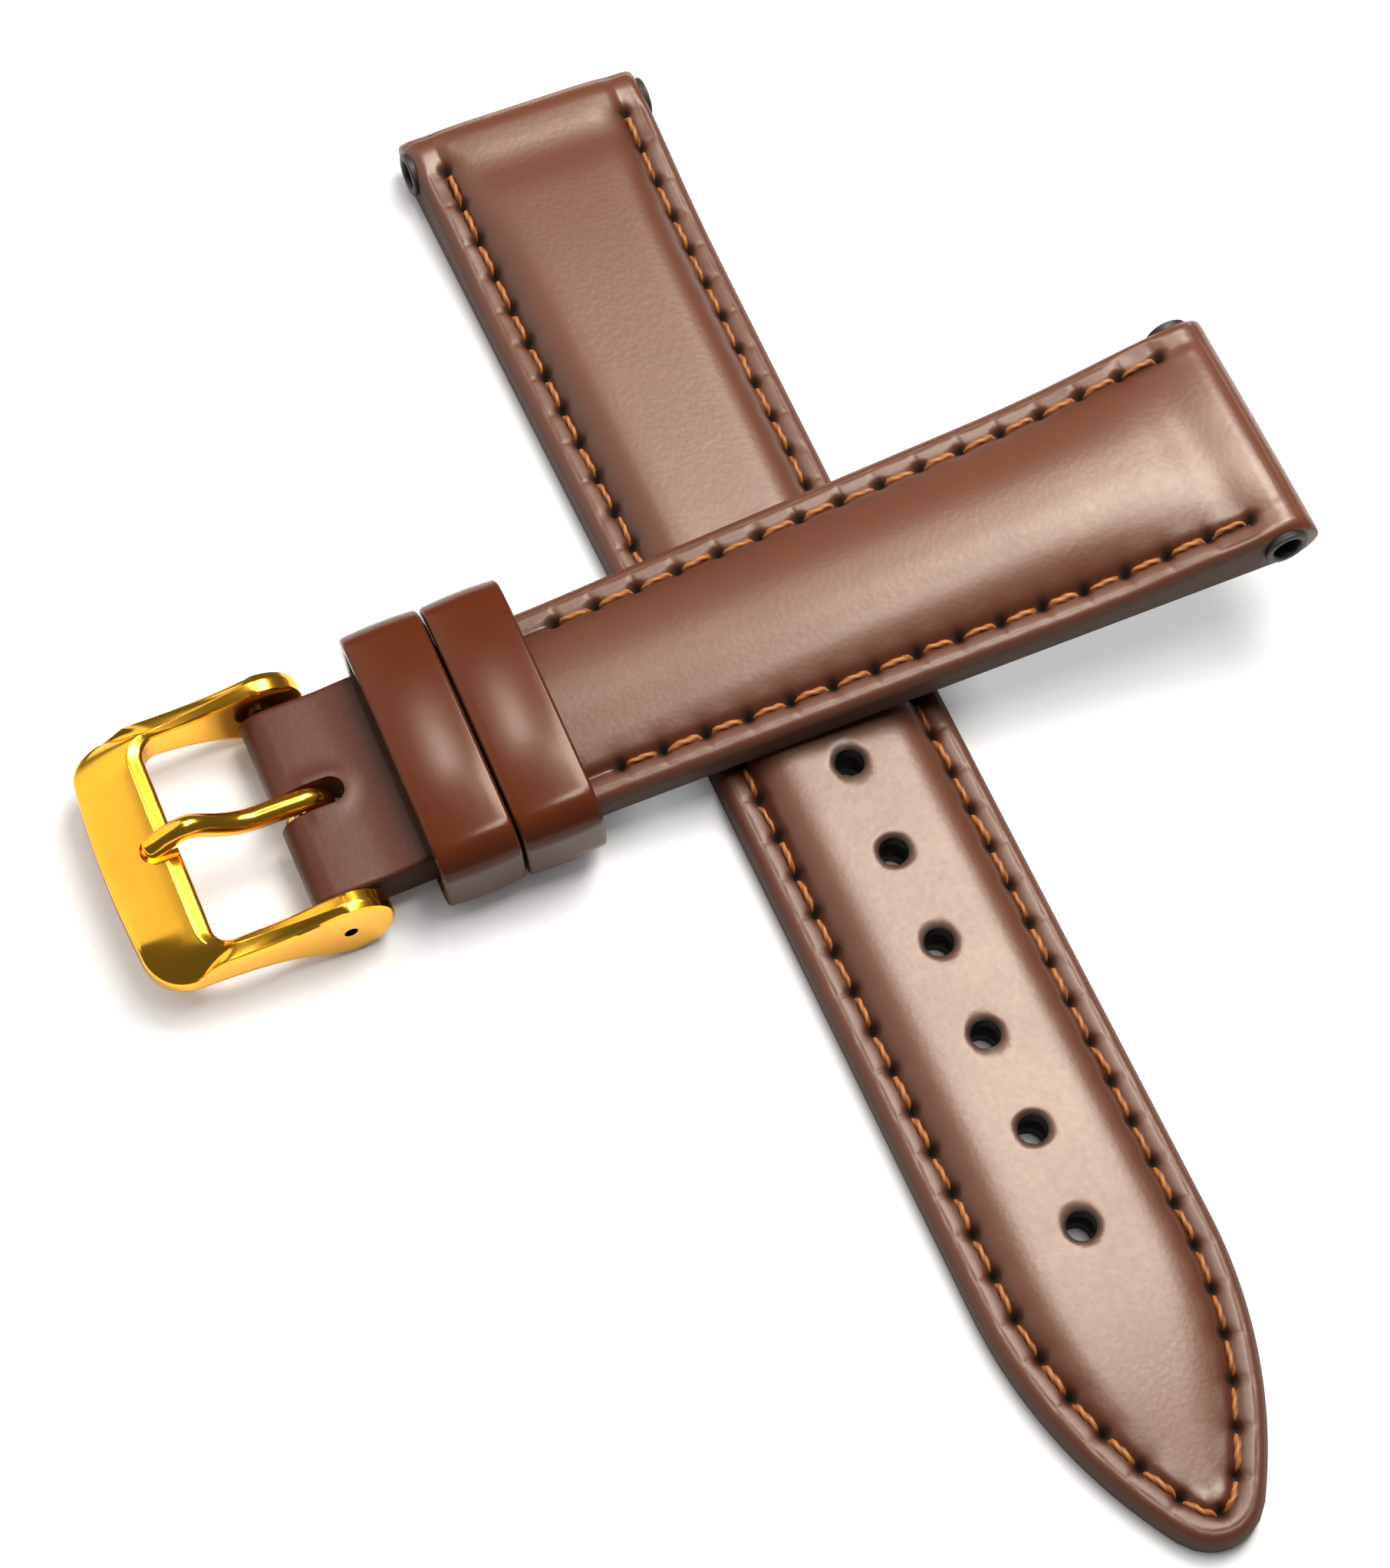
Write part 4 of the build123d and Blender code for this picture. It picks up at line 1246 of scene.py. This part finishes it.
def buckle_tongue(name):
    """Tongue: one wire rolled round the bar, then carried out level, up and down into the notch.

    Its radius closes as a circle's arc to a blunt tip, and a little at the start of the eye.
    """
    blunt = TONGUE_WIRE * 0.55
    turn = np.radians(np.linspace(300, 92, 40))
    eye = TONGUE_EYE * np.stack([np.cos(turn), np.sin(turn)], -1)
    line = np.concatenate([eye, spline(np.array(TONGUE_LINE) * MM, 70)])
    line[-1] = TONGUE_END
    run = np.concatenate([[0], np.cumsum(np.linalg.norm(np.diff(line, axis=0), axis=1))])
    to_tip = blunt * (1 - np.sin(np.linspace(0, pi / 2, 8)))[1:]
    even = np.concatenate([np.linspace(0, run[-1] - blunt, 120), run[-1] - to_tip])
    line = np.stack([np.interp(even, run, line[:, k]) for k in (0, 1)], -1)
    ahead = unit(np.gradient(line, axis=0))
    radius = TONGUE_WIRE * (0.45 + 0.55 * arc((run[-1] - even) / blunt))
    radius = radius * (0.8 + 0.2 * arc(even / (0.2 * MM)))
    path = at_bar(line[:, 0], 0.0, line[:, 1])
    normal = -ahead[:, 1:] * FRAME_FORWARD + ahead[:, :1] * UP
    return add_piece(name, *tube(path, normal, FRAME_ACROSS, radius, 28), sharp=60)


def spring_coil(name, side):
    """Half of the bar's coil spring: a wire along a helix, from the bar's middle to one plunger."""
    turns = COIL_HALF / COIL_PITCH
    turn = np.linspace(0, 2 * pi * turns, int(20 * turns))[:, None]
    out = np.sin(side * turn) * FRAME_FORWARD + np.cos(turn) * UP
    path = BAR + side * COIL_HALF * turn / turn[-1] * FRAME_ACROSS + COIL_RADIUS * out
    return add_piece(name, *tube(path, out, FRAME_ACROSS, np.full(len(turn), COIL_WIRE), 8))


# Stage
def stand(name, data, right, top, back, place):
    """Lamp or camera at a place, turned to the given axes."""
    made = bpy.data.objects.new(name, data)
    bpy.context.scene.collection.objects.link(made)
    axes = np.eye(4)
    axes[:3] = np.stack((right, top, back, place), 1)
    made.matrix_world = Matrix(axes.tolist())
    return made


def lamp(name, place, target, wide, tall, power):
    """Soft rectangular lamp that faces a point."""
    data = bpy.data.lights.new(name, "AREA")
    data.shape = "RECTANGLE"
    data.size, data.size_y, data.energy, data.color = wide, tall, power, LAMP_COLOUR
    back = unit(np.subtract(place, target))
    right = unit(np.cross(UP, back))
    return stand(name, data, right, np.cross(back, right), back, place)


def studio():
    """World: soft light from one direction, and white where the camera looks past the object."""
    w = Nodes(bpy.data.worlds.new("studio"))
    way = w.node("TexCoord", output="Generated")
    towards = w.node("VectorMath", {"operation": "DOT_PRODUCT"}, {0: way, 1: WORLD_BRIGHT}, "Value")
    strength = w.node("MapRange", {}, {0: towards, **dict(enumerate(WORLD_RANGE, 1))})
    soft = w.node("Background", {}, {"Color": rgba(WORLD_COLOUR), "Strength": strength})
    white = w.node("Background", {}, {"Color": rgba(WHITE), "Strength": 1.0})
    seen, through = (w.node("LightPath", output=f"Is {kind} Ray") for kind in ("Camera", "Transmission"))
    both = w.node("MixShader", {}, {0: seen.math("MAXIMUM", seen, through), 1: soft, 2: white})
    w.node("OutputWorld", {}, {"Surface": both})
    return w.owner


def table():
    """Pale table that looks white away from the object, keeps its shadow, and has painted shade close round the
    object.
    """
    f = new_finish("table")
    colour = f.mix(f.noise(0.02, 2, 0.5) * 0.3, colours().floor, tinted(colours().floor, 0.98))
    plain = f.node("BsdfPrincipled", {}, {"Base Color": colour, "Roughness": 0.7, "Specular IOR Level": 0.1})
    seen = f.node("Emission", {}, {"Color": rgba(WHITE), "Strength": 1.0})
    # The white glow fades with ambient occlusion, which paints shade on the table close round and under the strap
    # and in its holes
    open_sky = f.node("AmbientOcclusion", {"samples": 8}, {"Distance": 0.004}, "AO")
    share = f.node("LightPath", output="Is Camera Ray") * open_sky * open_sky * 0.5
    f.node("OutputMaterial", {}, {"Surface": f.node("MixShader", {}, {0: share, 1: plain, 2: seen})})
    mesh = bpy.data.meshes.new("table")
    corners = TABLE_REACH * np.array(((-1, -1, 0), (1, -1, 0), (1, 1, 0), (-1, 1, 0))) + TABLE_HEIGHT * UP
    mesh.from_pydata(corners, [], [(0, 1, 2, 3)])
    mesh.materials.append(f.owner)
    made = bpy.data.objects.new("table", mesh)
    bpy.context.scene.collection.objects.link(made)
    return made


# Operators
class STRAP_OT_stage(bpy.types.Operator):
    """Make the table, the soft light and the camera."""

    bl_idname = "strap.stage"
    bl_label = "Stage"

    def execute(self, context):
        scene = context.scene
        scene.view_settings.view_transform = "Standard"
        scene.world = studio()
        table()
        for values in LAMPS:
            lamp(*values)
        data = bpy.data.cameras.new("camera")
        data.sensor_fit = "VERTICAL"
        data.sensor_height, data.lens = SENSOR_HEIGHT, LENS
        data.clip_start, data.clip_end = 0.01, 10
        scene.camera = stand("camera", data, CAMERA_RIGHT, CAMERA_TOP, CAMERA_BACK, CAMERA_PLACE)
        return {"FINISHED"}


class STRAP_OT_outer_leather(bpy.types.Operator):
    """Make the outer leather of both halves."""

    bl_idname = "strap.outer_leather"
    bl_label = "Outer leather"

    def execute(self, context):
        finish = leather_finish("brown_leather", colours().leather, colours().leather_burnish_and_shade, 0.12, 0.55)
        for half in make_halves():
            piece = outer_leather(half.name + "_outer_leather", half)
            dress(piece, finish, half.body, half.name + "_upper")
        return {"FINISHED"}


class STRAP_OT_layers(bpy.types.Operator):
    """Make the linings, the padding and the stay tapes."""

    bl_idname = "strap.layers"
    bl_label = "Lining, padding and stay"

    def execute(self, context):
        s = sizes()
        lining, foam, tape = lining_finish(), foam_finish(), tape_finish()
        base, inset = s.lining + s.stay, s.row_inset + PAD_GAP + PAD_SIDE_GAP
        for half in make_halves():
            start, stop = half.pad[0] + PAD_END_GAP, half.pad[1] - PAD_END_GAP
            lining_end = half.end - (0 if half.pointed else LINING_END_GAP)
            piece = flat_layer(
                half.name + "_lining_leather", half, stations(half, LINING_START + LAYER_GAP, lining_end),
                s.lining_inset + LAYER_GAP, 0.0, s.lining - LAYER_GAP, LINING_ROUND, half.pointed,
            )
            pad = flat_layer(
                half.name + "_padding_foam", half, stations(half, start, stop), inset, base,
                lambda x, inset, depth, half=half: pad_top(half, x, inset, depth) - PAD_SIDE_GAP, PAD_ROUND,
            )
            even = np.linspace(start, stop, 60)
            stay = flat_layer(
                half.name + "_stay_weave", half, even, inset, s.lining, base - STAY_TOP_GAP, STAY_ROUND,
            )
            if half.pointed:
                for layer in (piece, pad, stay):
                    cut(layer, hole_pins(half), 50)
                    x, y, _ = local_points(half, layer.data)
                    # Mark that darkens the layers round the holes: edge paint and painted shade
                    mark(layer.data, hole=near_holes(half, x, y, 1.4, 0.35))
            dress(piece, lining, half.body, half.name + "_lining")
            dress(pad, foam, half.body, half.name + "_padding")
            dress(stay, tape, half.body, half.name + "_stay_tape")
            wide = 2 * (half.width_at(even) - inset)
            cloth = ((wide[1:] + wide[:-1]) / 2 * np.diff(even)).sum()
            holes = len(hole_places(half)) * pi * s.hole**2
            float(cloth - holes)
        return {"FINISHED"}


class STRAP_OT_bar_liners(bpy.types.Operator):
    """Make the tubes that line the bar holes at the lug ends."""

    bl_idname = "strap.bar_liners"
    bl_label = "Bar hole liners"

    def execute(self, context):
        finish = bpy.data.materials["lining_leather"]
        for half in make_halves():
            piece = bar_liner(half.name + "_liner_tube", half)
            dress(piece, finish, half.body, half.name + "_bar_liner")
        return {"FINISHED"}


class STRAP_OT_stitches(bpy.types.Operator):
    """Make the stitches of both halves."""

    bl_idname = "strap.stitches"
    bl_label = "Stitches"

    def execute(self, context):
        finish = thread_finish()
        for half in make_halves():
            dress(stitches(half.name + "_stitches", half), finish, half.body, half.name + "_thread")
        return {"FINISHED"}


class STRAP_OT_keepers(bpy.types.Operator):
    """Make the fixed and the loose keeper with their seam stitches."""

    bl_idname = "strap.keepers"
    bl_label = "Keepers"

    def execute(self, context):
        half = make_halves()[1]
        finish, thread = keeper_finish(), bpy.data.materials["amber_thread"]
        free_start = KEEPER_START - KEEPER_GAP - sizes().keeper_width
        for kind, body, start, floor in (
            ("fixed", "short_half", KEEPER_START, 0.0),
            ("free", "free_keeper", free_start, FREE_KEEPER_DROP),
        ):
            band = keeper(kind + "_keeper_band", half, start, floor)
            seam = seam_stitches(kind + "_keeper_seam", half, start, floor)
            dress(band, finish, body, kind + "_keeper")
            dress(seam, thread, body, kind + "_keeper_thread")
        return {"FINISHED"}


class STRAP_OT_loop(bpy.types.Operator):
    """Make the folded end that holds the spring bar."""

    bl_idname = "strap.loop"
    bl_label = "Folded end"

    def execute(self, context):
        finish = leather_finish("loop_leather", colours().loop, tinted(colours().loop, 0.5), 0.03, 0.26)
        piece = buckle_loop("folded_loop", make_halves()[1])
        dress(piece, finish, "short_half", "buckle_loop")
        return {"FINISHED"}


class STRAP_OT_buckle(bpy.types.Operator):
    """Make the buckle's frame and tongue."""

    bl_idname = "strap.buckle"
    bl_label = "Buckle"

    def execute(self, context):
        gold = colours().gold
        finish = metal_finish("polished_gold", gold, tinted(gold, (0.95, 0.78, 0.5)), 0.17)
        dress(buckle_frame("buckle_front"), finish, "buckle_frame", "buckle_frame")
        dress(buckle_tongue("tongue_wire"), finish, "buckle_tongue", "buckle_tongue")
        return {"FINISHED"}


class STRAP_OT_spring_bar(bpy.types.Operator):
    """Make the coil in the spring bar and finish the bar's own solids."""

    bl_idname = "strap.spring_bar"
    bl_label = "Spring bar"

    def execute(self, context):
        steel = colours().steel
        finish = metal_finish("bar_steel", steel, tinted(steel, 0.7), 0.2)
        for name, side in (("left", -1), ("right", 1)):
            coil = spring_coil("spring_coil_" + name, side)
            dress(coil, finish, "short_half", "spring_bar_spring")
            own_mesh(coil)
        for name in ("tube", "plunger_left", "plunger_right"):
            node = frame["nodes"]["spring_bar_" + name]
            node.data.materials.clear()
            node.data.materials.append(finish)
        return {"FINISHED"}


class STRAP_PT_pieces(bpy.types.Panel):
    """Sizes, colours and makers of the strap's pieces."""

    bl_label = "Leather watch strap"
    bl_idname = "STRAP_PT_pieces"
    bl_space_type = "VIEW_3D"
    bl_region_type = "UI"
    bl_category = "Strap"

    def draw(self, context):
        for operator in OPERATORS:
            self.layout.operator(operator.bl_idname)
        for group in (context.scene.strap_sizes, context.scene.strap_colours):
            box = self.layout.box()
            for name in group.__annotations__:
                box.prop(group, name)


OPERATORS = (
    STRAP_OT_stage,
    STRAP_OT_outer_leather,
    STRAP_OT_layers,
    STRAP_OT_bar_liners,
    STRAP_OT_stitches,
    STRAP_OT_keepers,
    STRAP_OT_loop,
    STRAP_OT_buckle,
    STRAP_OT_spring_bar,
)
CLASSES = (StrapSizes, StrapColours, *OPERATORS, STRAP_PT_pieces)


def register():
    """Registers the classes and the scene's properties."""
    for item in CLASSES:
        bpy.utils.register_class(item)
    bpy.types.Scene.strap_sizes = PointerProperty(type=StrapSizes)
    bpy.types.Scene.strap_colours = PointerProperty(type=StrapColours)


def unregister():
    """Takes the classes and properties away again."""
    del bpy.types.Scene.strap_colours
    del bpy.types.Scene.strap_sizes
    for item in reversed(CLASSES):
        bpy.utils.unregister_class(item)


def main():
    """Builds the strap piece by piece."""
    register()
    for operator in OPERATORS:
        getattr(bpy.ops.strap, operator.bl_idname.split(".")[1])()


if __name__ == "__main__":
    main()
